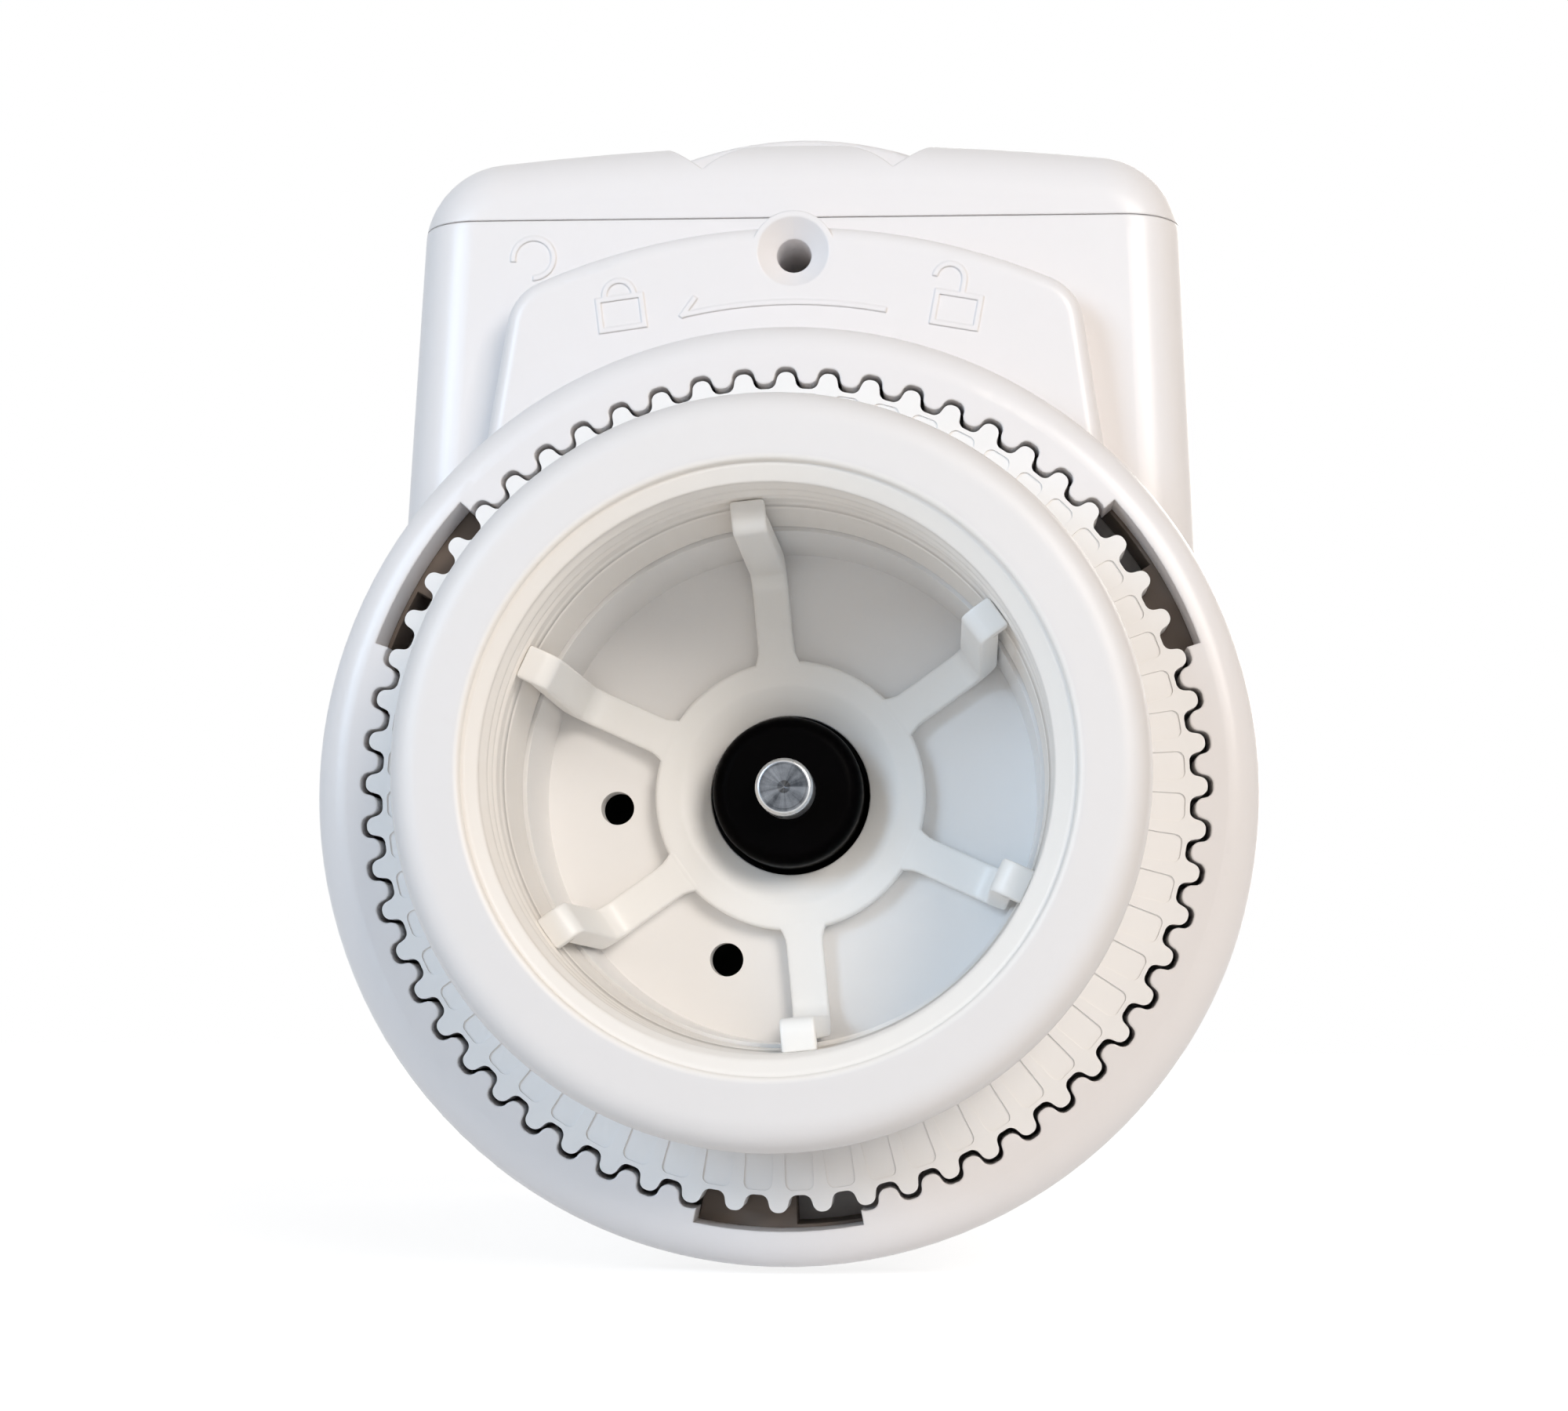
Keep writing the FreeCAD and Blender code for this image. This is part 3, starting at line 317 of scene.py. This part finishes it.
def solderMask(values):
    # Green epoxy mask over etched copper: paler tracks on a grid and small tinned holes.
    material, tree, where = startMaterial("screen printed solder mask on FR4")
    turned = addNode(tree, "ShaderNodeMapping", {"Rotation": (math.radians(90), 0, 0)}, {"Vector": where})
    tracks = addNode(tree, "ShaderNodeTexBrick",
                     {"Scale": 1000 / values["trackPitch"] / 4, "Mortar Size": 0.05, "Mortar Smooth": 0.1,
                      "Brick Width": 1.7, "Row Height": 0.25}, {"Vector": turned.outputs["Vector"]})
    holes = addNode(tree, "ShaderNodeTexVoronoi", {"Scale": 1000 / values["viaPitch"], "Randomness": 0.6,
                                                   "voronoi_dimensions": "2D"},
                    {"Vector": turned.outputs["Vector"]})
    via = addNode(tree, "ShaderNodeMath", {"operation": "LESS_THAN", 1: 0.12}, {0: holes.outputs["Distance"]})
    green = addNode(tree, "ShaderNodeMix", {"data_type": "RGBA"}, {0: tracks.outputs["Fac"]})
    green.inputs[6].default_value = linearColour(values["mask"])
    green.inputs[7].default_value = linearColour(values["copper"])
    colour = addNode(tree, "ShaderNodeMix", {"data_type": "RGBA"},
                     {0: via.outputs["Value"], 6: green.outputs[2]})
    colour.inputs[7].default_value = linearColour(values["tin"])
    bump = addNode(tree, "ShaderNodeBump", {"Strength": 1.0, "Distance": 0.03 * mm},
                   {"Height": tracks.outputs["Fac"]})
    shader = addNode(tree, "ShaderNodeBsdfPrincipled", {"Roughness": 0.34, "IOR": 1.5},
                     {"Base Color": colour.outputs[2], "Metallic": via.outputs["Value"],
                      "Normal": bump.outputs["Normal"]})
    finishMaterial(tree, shader)
    return material


sleeveValues = {"body": "2b3440", "band": "b9744a", "steel": "b5b8bb", "bandStart": 20.0, "capRadius": 6.2}


def cellSleeve(values, node):
    # A shrink sleeve, dark with a copper coloured band at one end, over a nickel plated can.
    material, tree, where = startMaterial("shrink sleeve of " + node.replace("_", " "))
    centre = middleOf(node)
    low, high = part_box(node)
    half = (high.y - low.y) / 2
    local = addNode(tree, "ShaderNodeMapping", {"Location": -centre}, {"Vector": where})
    parts = addNode(tree, "ShaderNodeSeparateXYZ", links={"Vector": local.outputs["Vector"]})
    flat = addNode(tree, "ShaderNodeCombineXYZ", links={"X": parts.outputs["X"], "Z": parts.outputs["Z"]})
    radius = addNode(tree, "ShaderNodeVectorMath", {"operation": "LENGTH"}, {0: flat.outputs["Vector"]})
    bare = addNode(tree, "ShaderNodeMath", {"operation": "LESS_THAN", 1: values["capRadius"] * mm},
                   {0: radius.outputs["Value"]})
    facing = 1 if node == "battery_left" else -1
    turn = addNode(tree, "ShaderNodeMath", {"operation": "MULTIPLY", 1: -facing}, {0: parts.outputs["Y"]})
    band = addNode(tree, "ShaderNodeMath", {"operation": "GREATER_THAN", 1: half - values["bandStart"] * mm},
                   {0: turn.outputs["Value"]})
    sleeve = addNode(tree, "ShaderNodeMix", {"data_type": "RGBA"}, {0: band.outputs["Value"]})
    sleeve.inputs[6].default_value = linearColour(values["body"])
    sleeve.inputs[7].default_value = linearColour(values["band"])
    colour = addNode(tree, "ShaderNodeMix", {"data_type": "RGBA"},
                     {0: bare.outputs["Value"], 6: sleeve.outputs[2]})
    colour.inputs[7].default_value = linearColour(values["steel"])
    wrinkle = addNode(tree, "ShaderNodeTexNoise", {"Scale": 1000 / 2.5, "Detail": 3.0}, {"Vector": where})
    bump = addNode(tree, "ShaderNodeBump", {"Strength": 1.0, "Distance": 0.01 * mm},
                   {"Height": wrinkle.outputs["Fac"]})
    rough = addNode(tree, "ShaderNodeMapRange", {"To Min": 0.24, "To Max": 0.36},
                    {"Value": wrinkle.outputs["Fac"]})
    shader = addNode(tree, "ShaderNodeBsdfPrincipled", {"IOR": 1.54},
                     {"Base Color": colour.outputs[2], "Metallic": bare.outputs["Value"],
                      "Roughness": rough.outputs["Result"], "Normal": bump.outputs["Normal"]})
    finishMaterial(tree, shader)
    return material


def clearWindow():
    # Hard coated clear acrylic: sharp reflections with only a trace of ripple.
    material, tree, where = startMaterial("hard coated clear acrylic window")
    ripple = addNode(tree, "ShaderNodeTexNoise", {"Scale": 1000 / 6.0, "Detail": 1.0}, {"Vector": where})
    bump = addNode(tree, "ShaderNodeBump", {"Strength": 1.0, "Distance": 0.002 * mm},
                   {"Height": ripple.outputs["Fac"]})
    rough = addNode(tree, "ShaderNodeMapRange", {"To Min": 0.02, "To Max": 0.06},
                    {"Value": ripple.outputs["Fac"]})
    shader = addNode(tree, "ShaderNodeBsdfPrincipled",
                     {"Base Color": linearColour("f4f7f6"), "Transmission Weight": 1.0, "IOR": 1.49},
                     {"Roughness": rough.outputs["Result"], "Normal": bump.outputs["Normal"]})
    finishMaterial(tree, shader)
    return material


def reflectiveDisplay():
    # A reflective liquid crystal cell: grey-green under its polariser, with a fine sparkle from its film.
    material, tree, where = startMaterial("reflective LCD cell with polariser")
    film = addNode(tree, "ShaderNodeTexNoise", {"Scale": 1000 / 0.25, "Detail": 2.0}, {"Vector": where})
    colour = addNode(tree, "ShaderNodeMix", {"data_type": "RGBA"}, {0: film.outputs["Fac"]})
    colour.inputs[6].default_value = linearColour("b4bba9")
    colour.inputs[7].default_value = linearColour("a5ad9b")
    rough = addNode(tree, "ShaderNodeMapRange", {"To Min": 0.22, "To Max": 0.34},
                    {"Value": film.outputs["Fac"]})
    shader = addNode(tree, "ShaderNodeBsdfPrincipled",
                     {"IOR": 1.5, "Coat Weight": 0.5, "Coat Roughness": 0.1},
                     {"Base Color": colour.outputs[2], "Roughness": rough.outputs["Result"]})
    finishMaterial(tree, shader)
    return material


finishes = {key: mouldedPlastic(values) for key, values in plastics.items()}
finishes.update({key: workedMetal(values) for key, values in metals.items()})
finishes["solderMask"] = solderMask(boardValues)
finishes["sleeveLeft"] = cellSleeve(sleeveValues, "battery_left")
finishes["sleeveRight"] = cellSleeve(sleeveValues, "battery_right")
finishes["clearWindow"] = clearWindow()
finishes["reflectiveDisplay"] = reflectiveDisplay()

nodeFinish = {
    "union_nut": "satinNut", "toothed_carrier": "satinCarrier", "retaining_spider": "naturalNylon",
    "mounting_base": "glossAbs", "base_screws": "drawnSteel", "lock_ring": "paintedShadeAcetal",
    "main_housing": "glossAbs", "battery_cover": "glossAbs", "front_fascia": "glossAbs",
    "display_window": "clearWindow", "lcd_module": "reflectiveDisplay", "backlight_frame": "satinCarrier",
    "circuit_board": "solderMask", "board_chips": "epoxyMould", "radio_module": "tinPlate",
    "tact_switches": "epoxyMould", "temperature_sensor": "epoxyMould", "minus_button": "keyRubber",
    "menu_button": "keyRubber", "plus_button": "keyRubber", "battery_left": "sleeveLeft",
    "battery_right": "sleeveRight", "battery_tray": "satinCarrier", "contact_plates": "tinPlate",
    "contact_springs": "tinPlate", "plunger_cap": "blackAcetal", "plunger_pin": "turnedSteel",
    "spindle": "turnedBrass", "output_gear": "gearAcetal", "thrust_washer": "drawnSteel",
    "second_gear": "gearAcetal", "first_gear": "gearAcetal", "motor_pinion": "turnedBrass",
    "motor_shaft": "drawnSteel", "motor_can": "zincSteel", "motor_terminals": "turnedBrass",
    "axle_pins": "drawnSteel", "drive_frame": "filledNylon", "gear_plate": "filledNylon",
    "drive_screws": "drawnSteel",
}
for nodeName, finish in nodeFinish.items():
    mesh = nodes[nodeName].data
    mesh.materials.clear()
    mesh.materials.append(finishes[finish])
print("materials made:", len(finishes))


# shapes from arrays

def gridFaces(rows, columns, rowsClosed, columnsClosed):
    # the quads of a grid of points counted row by row, wrapping round where it is closed
    row, column = np.meshgrid(np.arange(rows if rowsClosed else rows - 1),
                              np.arange(columns if columnsClosed else columns - 1), indexing="ij")
    nextRow = (row + 1) % rows
    nextColumn = (column + 1) % columns
    return np.stack([row * columns + column, row * columns + nextColumn,
                     nextRow * columns + nextColumn, nextRow * columns + column], -1).reshape(-1, 4)


def joined(shells):
    # several (points, faces) shells as one, each shell's faces counted on from the points before it
    starts = np.cumsum([0] + [len(points) for points, _ in shells[:-1]])
    return (np.concatenate([points for points, _ in shells]),
            np.concatenate([faces + start for (_, faces), start in zip(shells, starts)]))


def addPiece(name, points, faces, finish, body, slotName, replaced=()):
    # doubles at the poles are merged and the faces turned outwards before the piece is finished
    mesh = bpy.data.meshes.new(name)
    mesh.from_pydata(points, [], faces)
    form = bmesh.new()
    form.from_mesh(mesh)
    bmesh.ops.remove_doubles(form, verts=form.verts, dist=1e-7)
    bmesh.ops.recalc_face_normals(form, faces=form.faces)
    form.to_mesh(mesh)
    form.free()
    mesh.shade_smooth()
    mesh.materials.append(finishes[finish])
    piece = bpy.data.objects.new(name, mesh)
    scene.collection.objects.link(piece)
    weighted = piece.modifiers.new("flat faces stay flat", "WEIGHTED_NORMAL")
    weighted.weight = 60
    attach(piece, body)
    if replaced:
        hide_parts(*replaced)
    return piece


def roundedRun(corners, closed, arcSteps, step):
    # A section line through (x, y, radius) corners: each corner becomes an arc that touches both sides,
    # points on it are centre + radius * (cos, sin), and straight runs are divided evenly.
    count = len(corners)
    spots = np.array([c[:2] for c in corners], float)
    runs = []
    for i in range(count):
        here, radius = spots[i], corners[i][2]
        if (not closed and i in (0, count - 1)) or radius == 0:
            runs.append(here[None, :])
            continue
        before = spots[i - 1] - here
        after = spots[(i + 1) % count] - here
        before = before / np.linalg.norm(before)
        after = after / np.linalg.norm(after)
        half = math.acos(np.clip(before @ after, -1, 1)) / 2
        reach = radius / math.tan(half)
        centre = here + (before + after) / np.linalg.norm(before + after) * radius / math.sin(half)
        first = here + before * reach - centre
        last = here + after * reach - centre
        span = math.pi - 2 * half
        share = np.linspace(0, 1, arcSteps + 1)[:, None]
        arc = np.sin((1 - share) * span) * first + np.sin(share * span) * last
        runs.append(centre + arc / math.sin(span))
    line = [runs[0]]
    following = list(range(1, count)) + ([0] if closed else [])
    for i in following:
        start, end = line[-1][-1], runs[i][0]
        parts = max(1, int(np.linalg.norm(end - start) / step))
        share = np.linspace(0, 1, parts + 1)[1:-1, None]
        line.append(start + (end - start) * share)
        if i:
            line.append(runs[i])
    return np.concatenate([piece for piece in line if len(piece)])


def revolved(section, turns):
    # each (radius, depth) point of a closed section goes round the valve axis:
    # x = radius * cos(angle), y = depth, z = radius * sin(angle)
    angle = np.linspace(0, 2 * math.pi, turns, endpoint=False)
    radius, depth = section[:, 0][:, None], section[:, 1][:, None]
    points = np.stack([radius * np.cos(angle), depth + 0 * angle, radius * np.sin(angle)], -1)
    return points.reshape(-1, 3) * mm, gridFaces(len(section), turns, True, True)


def signedPower(values, exponent):
    # the size of each value to the exponent, with its sign kept: below 1 it squares up a circle
    return np.sign(values) * np.abs(values) ** exponent


def swept(path, across, halfWidth, halfThick, corner, middle):
    # A rounded bar along a path in the (radius, depth) plane at one angle round the axis. The section is a
    # rounded rectangle: a superellipse of the corner's power, shrunk to a point over three rows at each end.
    path = np.asarray(path, float)
    along = np.gradient(path, axis=0)
    along = along / np.linalg.norm(along, axis=1)[:, None]
    side = np.stack([-along[:, 1], along[:, 0]], -1)
    turn = np.linspace(0, 2 * math.pi, across, endpoint=False)
    wide, thick = signedPower(np.cos(turn), 2 / corner), signedPower(np.sin(turn), 2 / corner)
    order = np.concatenate([[0, 0, 0], np.arange(len(path)), [-1, -1, -1]])
    shrink = np.concatenate([[0, 0.88, 0.97], np.ones(len(path)), [0.97, 0.88, 0]])
    push = np.concatenate([[-0.09, -0.09, -0.05], np.zeros(len(path)), [0.05, 0.09, 0.09]])
    spine = path[order] + along[order] * push[:, None]
    halfThick = np.broadcast_to(halfThick, len(path))[order] * shrink
    halfWidth = np.broadcast_to(halfWidth, len(path))[order] * shrink
    radial = spine[:, 0, None] + side[order][:, 0, None] * halfThick[:, None] * thick
    depth = spine[:, 1, None] + side[order][:, 1, None] * halfThick[:, None] * thick
    offset = halfWidth[:, None] * wide
    cosine, sine = math.cos(middle), math.sin(middle)
    points = np.stack([radial * cosine - offset * sine, depth, radial * sine + offset * cosine], -1)
    return points.reshape(-1, 3) * mm, gridFaces(len(order), across, False, True)


def roundedBar(start, end, width, height, out):
    # A flat bar between two points: an ellipse of the width and height carried along, its size the square
    # root of 1 - t*t over a half circle at each end.
    start, end, out = np.array(start, float), np.array(end, float), np.array(out, float)
    run = end - start
    length = np.linalg.norm(run)
    run = run / length
    side = np.cross(out, run)
    cap = np.sin(np.linspace(0, math.pi / 2, 7))
    place = np.concatenate([-cap[::-1] * width / 2, length + cap * width / 2])
    size = np.sqrt(1 - np.concatenate([cap[::-1], cap]) ** 2)
    turn = np.linspace(0, 2 * math.pi, 20, endpoint=False)
    wide, thick = signedPower(np.cos(turn), 0.7), signedPower(np.sin(turn), 0.7)
    points = (start + run * place[:, None, None]
              + side * (size[:, None, None] * wide[None, :, None] * width / 2)
              + out * (size[:, None, None] * thick[None, :, None] * height / 2))
    return points.reshape(-1, 3) * mm, gridFaces(len(place), 20, False, True)


# union nut

nutValues = {
    "front": -1.2, "back": 10.6, "radius": 19.1, "edge": 1.4, "mouth": 15.35, "mouthDepth": 0.45,
    "minor": 14.25, "threadDepth": 0.32, "pitch": 1.5, "threadEnd": 3.4,
    "relief": 14.35, "ledge": 5.1, "neck": 14.1,
    "grooves": 36, "grooveDepth": 0.55, "grooveWidth": 1.1, "grooveStart": 2.0,
    "mouthRound": 0.3, "backRound": 0.5, "neckRound": 0.08, "boreRound": 0.3, "reliefRound": 0.2,
    "crestRound": 0.1, "stepRound": 0.05, "stepWidth": 0.15, "leadIn": 0.75, "runOut": 0.35,
    "turns": 432,
}


def unionNut(v):
    # The section goes round the valve axis. Grip grooves take depth * (1 - (arc / half width)^4) off the
    # outer wall. The thread's radius is minor + depth * ramp, where the ramp rises and falls with
    # depth / pitch plus the share of a turn, so that it is a helix.
    step = v["front"] + v["mouthDepth"]
    section = roundedRun([
        (v["mouth"], v["front"], v["mouthRound"]), (v["radius"], v["front"], v["edge"]),
        (v["radius"], v["back"], v["backRound"]), (v["neck"], v["back"], v["neckRound"]),
        (v["neck"], v["ledge"], v["boreRound"]), (v["relief"], v["ledge"], v["boreRound"]),
        (v["relief"], v["threadEnd"] + 0.55, v["reliefRound"]),
        (v["minor"], v["threadEnd"] + 0.1, v["crestRound"]), (v["minor"], step + v["leadIn"], v["crestRound"]),
        (v["mouth"] - v["stepWidth"], step, v["stepRound"]), (v["mouth"], step, v["stepRound"])], True, 5, 0.1)
    keep = np.ones(len(section), bool)
    plain = (section[:, 0] > v["minor"] + 1.3) | (section[:, 1] > v["ledge"] - 0.2)
    keep[np.flatnonzero(plain)[1::2]] = False     # plain stretches need fewer rows than the thread
    section = section[keep]
    angle = np.linspace(0, 2 * math.pi, v["turns"], endpoint=False)
    radius = np.repeat(section[:, 0][:, None], v["turns"], 1)
    depth = np.repeat(section[:, 1][:, None], v["turns"], 1)
    # grip grooves
    share = (angle * v["grooves"] / (2 * math.pi) + 0.5) % 1 - 0.5
    arc = np.abs(share) * 2 * math.pi * v["radius"] / v["grooves"]
    dent = v["grooveDepth"] * np.clip(1 - (arc / (v["grooveWidth"] / 2 + 0.1)) ** 4, 0, 1)
    fade = np.clip((depth - v["grooveStart"]) / 0.6, 0, 1)
    outer = section[:, 0] > v["radius"] - 0.9
    radius = radius - np.where(outer[:, None], dent[None, :] * fade, 0)
    # thread
    phase = (depth / v["pitch"] + angle[None, :] / (2 * math.pi)) % 1
    ramp = np.clip((0.9 - np.abs(phase - 0.5) * 2) / 0.8, 0, 1)
    reach = np.clip((v["threadEnd"] + v["runOut"] - depth) / v["runOut"], 0, 1)
    inner = (section[:, 0] < v["mouth"] - 0.1) & (section[:, 1] < v["threadEnd"] + 0.4)
    groove = v["minor"] + v["threadDepth"] * ramp * reach
    radius = np.where(inner[:, None], np.maximum(radius, groove), radius)
    points = np.stack([radius * np.cos(angle), depth, radius * np.sin(angle)], -1)
    return points.reshape(-1, 3) * mm, gridFaces(len(section), v["turns"], True, True)


addPiece("threaded_union_nut", *unionNut(nutValues), "satinNut", "nut", "white_nut", ["union_nut"])
print("union nut made")


# retaining spider

spiderValues = {
    "hub": 7.65, "hole": 4.5, "front": 17.2, "back": 18.4, "dish": 0.55,
    "spokes": 6, "first": 36.0, "halfWidth": 1.02, "halfThick": 0.6,
    "wall": 13.1, "tip": 3.98, "hook": 14.15, "bend": 1.6, "hookBend": 0.3,
}


def retainingSpider(v):
    hub = revolved(roundedRun([
        (v["hole"], v["front"] + v["dish"], 0.1), (v["hole"] + 1.7, v["front"] + 0.02, 0.8),
        (v["hub"], v["front"], 0.25), (v["hub"], v["back"], 0.1),
        (v["hole"], v["back"], 0.1)], True, 5, 0.25), 192)
    middle = (v["front"] + v["back"]) / 2
    path = roundedRun([(7.3, middle, 0), (v["wall"], middle, v["bend"]), (v["wall"], v["tip"], v["hookBend"]),
                       (v["hook"], v["tip"], 0)], False, 8, 0.4)
    share = np.linspace(0, 1, len(path))
    halfWidth = v["halfWidth"] + 0.35 * np.clip(1 - (path[:, 0] - 7.4) / 1.0, 0, 1) ** 2   # flares at the hub
    halfWidth = halfWidth - 0.12 * np.clip((share - 0.4) / 0.5, 0, 1)
    halfThick = v["halfThick"] - 0.1 * np.clip((share - 0.85) / 0.15, 0, 1)
    angles = np.radians(v["first"] + np.arange(v["spokes"]) * 360 / v["spokes"])
    bars = [swept(path, 40, halfWidth, halfThick, 9.0, a) for a in angles]
    return joined([hub] + bars)


addPiece("nylon_retaining_spider", *retainingSpider(spiderValues), "naturalNylon", "adapter",
         "natural_nylon", ["retaining_spider"])
print("retaining spider made")


# key symbols and display figures, seen from the front

keyValues = {"lift": 0.02, "length": 1.3, "width": 0.42, "height": 0.12}


def keySymbols(v):
    for node, bars in (("minus_button", ((-1, 0, 1, 0),)), ("plus_button", ((-1, 0, 1, 0), (0, -1, 0, 1))),
                       ("menu_button", ((-1, 0.6, 1, 0.6), (-1, 0, 1, 0), (-1, -0.6, 1, -0.6)))):
        centre = middleOf(node) / mm
        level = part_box(node)[1].y / mm + v["lift"]
        shells = [roundedBar((centre.x + a * v["length"], level, centre.z + b * v["length"]),
                             (centre.x + c * v["length"], level, centre.z + d * v["length"]),
                             v["width"], v["height"], (0, 1, 0)) for a, b, c, d in bars]
        body = node.replace("button", "key")
        addPiece(node.replace("button", "symbol"), *joined(shells), "printInk", body, "black_plastic")


keySymbols(keyValues)

figureValues = {"digits": "205", "height": 7.0, "width": 4.0, "pitch": 6.2, "stroke": 0.8, "lean": 0.08}


def displayFigures(v):
    # seven segment figures: each lit segment is a bar between two corners of the figure's box
    centre = middleOf("display_window") / mm
    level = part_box("lcd_module")[1].y / mm + 0.03
    corners = {"a": (0, 1, 1, 1), "b": (1, 1, 1, 0.5), "c": (1, 0.5, 1, 0), "d": (0, 0, 1, 0),
               "e": (0, 0.5, 0, 0), "f": (0, 1, 0, 0.5), "g": (0, 0.5, 1, 0.5)}
    lit = {"2": "abged", "0": "abcdef", "5": "afgcd"}

    def spot(x, z, number):
        across = (number - 1) * v["pitch"] + (x - 0.5) * v["width"] + v["lean"] * z * v["height"]
        return (centre.x - across, level, centre.z + (z - 0.5) * v["height"])

    shells = []
    for number, digit in enumerate(v["digits"]):
        for segment in lit[digit]:
            x1, z1, x2, z2 = corners[segment]
            start, end = np.array(spot(x1, z1, number)), np.array(spot(x2, z2, number))
            inset = (end - start) / np.linalg.norm(end - start) * v["stroke"] * 0.62
            shells.append(roundedBar(start + inset, end - inset, v["stroke"], 0.06, (0, 1, 0)))
    dot = np.array(spot(1.28, 0.02, 1))
    shells.append(roundedBar(dot - (0.05, 0, 0), dot + (0.05, 0, 0), v["stroke"], 0.06, (0, 1, 0)))
    addPiece("display_figures", *joined(shells), "printInk", "head", "lcd")


displayFigures(figureValues)
print("symbols and figures made")


# floor, surroundings and lamps

floorValues = {"radius": 0.8, "gap": 0.0004, "shade": 0.30, "glow": 0.86, "clear": 0.045, "far": 0.15}


def addFloor(v):
    # rings of points about the object's middle, at growing radii
    low, high = cadBounds
    centre = (Vector(low) + Vector(high)) / 2
    level = low[2] - v["gap"]
    radius = np.concatenate([[0.0], np.geomspace(0.01, v["radius"], 24)])
    angle = np.linspace(0, 2 * math.pi, 96, endpoint=False)
    points = np.stack([centre.x + radius[:, None] * np.cos(angle), centre.y + radius[:, None] * np.sin(angle),
                       level + 0 * radius[:, None] * angle], -1).reshape(-1, 3)
    mesh = bpy.data.meshes.new("studio_floor")
    mesh.from_pydata(points, [], gridFaces(25, 96, False, True))
    floor = bpy.data.objects.new("studio_floor", mesh)
    scene.collection.objects.link(floor)
    material, tree, where = startMaterial("matt white studio card")
    speckle = addNode(tree, "ShaderNodeTexNoise", {"Scale": 1000 / 3.0, "Detail": 2.0}, {"Vector": where})
    tone = addNode(tree, "ShaderNodeMix", {"data_type": "RGBA"}, {0: speckle.outputs["Fac"]})
    tone.inputs[6].default_value = linearColour("f6f6f6")
    tone.inputs[7].default_value = linearColour("f4f4f4")
    away = addNode(tree, "ShaderNodeVectorMath", {"operation": "DISTANCE", 1: (centre.x, centre.y, level)},
                   {0: where})
    fade = addNode(tree, "ShaderNodeMapRange",
                   {"interpolation_type": "SMOOTHSTEP", "From Min": v["clear"], "From Max": v["far"],
                    "To Min": v["glow"], "To Max": 1.0}, {"Value": away.outputs["Value"]})
    seen = addNode(tree, "ShaderNodeBsdfDiffuse", {"Color": (v["shade"], v["shade"], v["shade"], 1)})
    glow = addNode(tree, "ShaderNodeEmission", links={"Strength": fade.outputs["Result"]})
    shown = addNode(tree, "ShaderNodeAddShader", links={0: seen.outputs[0], 1: glow.outputs[0]})
    card = addNode(tree, "ShaderNodeBsdfDiffuse", links={"Color": tone.outputs[2]})
    mixed = addNode(tree, "ShaderNodeMixShader",
                    links={0: showsBackground(tree), 1: card.outputs[0], 2: shown.outputs[0]})
    finishMaterial(tree, mixed)
    mesh.materials.append(material)


def showsBackground(tree):
    # 1 for a ray from the camera, or one that a metal or glass surface sends on, else 0
    path = addNode(tree, "ShaderNodeLightPath")
    either = addNode(tree, "ShaderNodeMath", {"operation": "MAXIMUM"},
                     {0: path.outputs["Is Camera Ray"], 1: path.outputs["Is Glossy Ray"]})
    both = addNode(tree, "ShaderNodeMath", {"operation": "MAXIMUM"},
                   {0: either.outputs["Value"], 1: path.outputs["Is Transmission Ray"]})
    return both.outputs["Value"]


worldValues = {"ambient": (1.0, 0.90, 0.79, 1.0), "strength": 0.19}


def addWorld(v):
    world = bpy.data.worlds.new("studio surroundings")
    world.use_nodes = True
    tree = world.node_tree
    tree.nodes.clear()
    white = addNode(tree, "ShaderNodeBackground", {"Color": (1, 1, 1, 1), "Strength": 1.0})
    ambient = addNode(tree, "ShaderNodeBackground", {"Color": v["ambient"], "Strength": v["strength"]})
    mixed = addNode(tree, "ShaderNodeMixShader",
                    links={0: showsBackground(tree), 1: ambient.outputs[0], 2: white.outputs[0]})
    addNode(tree, "ShaderNodeOutputWorld", links={"Surface": mixed.outputs[0]})
    scene.world = world


# share is the lamp's part of full light on a surface that faces it: its power is pi^2 * distance^2 * share
lamps = {
    "warm key softbox": {"place": (0.33, -0.55, 0.27), "size": 0.30, "share": 0.56,
                         "colour": (1.0, 0.935, 0.87)},
    "cool left softbox": {"place": (-0.40, -0.48, 0.20), "size": 0.26, "share": 0.45,
                          "colour": (0.57, 0.76, 0.97)},
    "back softbox": {"place": (0.22, 0.72, 0.17), "size": 0.50, "share": 0.52, "colour": (1.0, 0.98, 0.96)},
}


def addLamps(lamps):
    aim = Vector((0, 0.01, 0.005))
    for name, v in lamps.items():
        data = bpy.data.lights.new(name, "AREA")
        data.shape = "SQUARE"
        data.size = v["size"]
        data.color = v["colour"]
        place = Vector(v["place"])
        data.energy = math.pi ** 2 * (place - aim).length_squared * v["share"]
        lamp = bpy.data.objects.new(name, data)
        lamp.location = place
        lamp.rotation_euler = (aim - place).to_track_quat("-Z", "Y").to_euler()
        scene.collection.objects.link(lamp)


addFloor(floorValues)
addWorld(worldValues)
addLamps(lamps)
print("floor, surroundings and lamps placed")
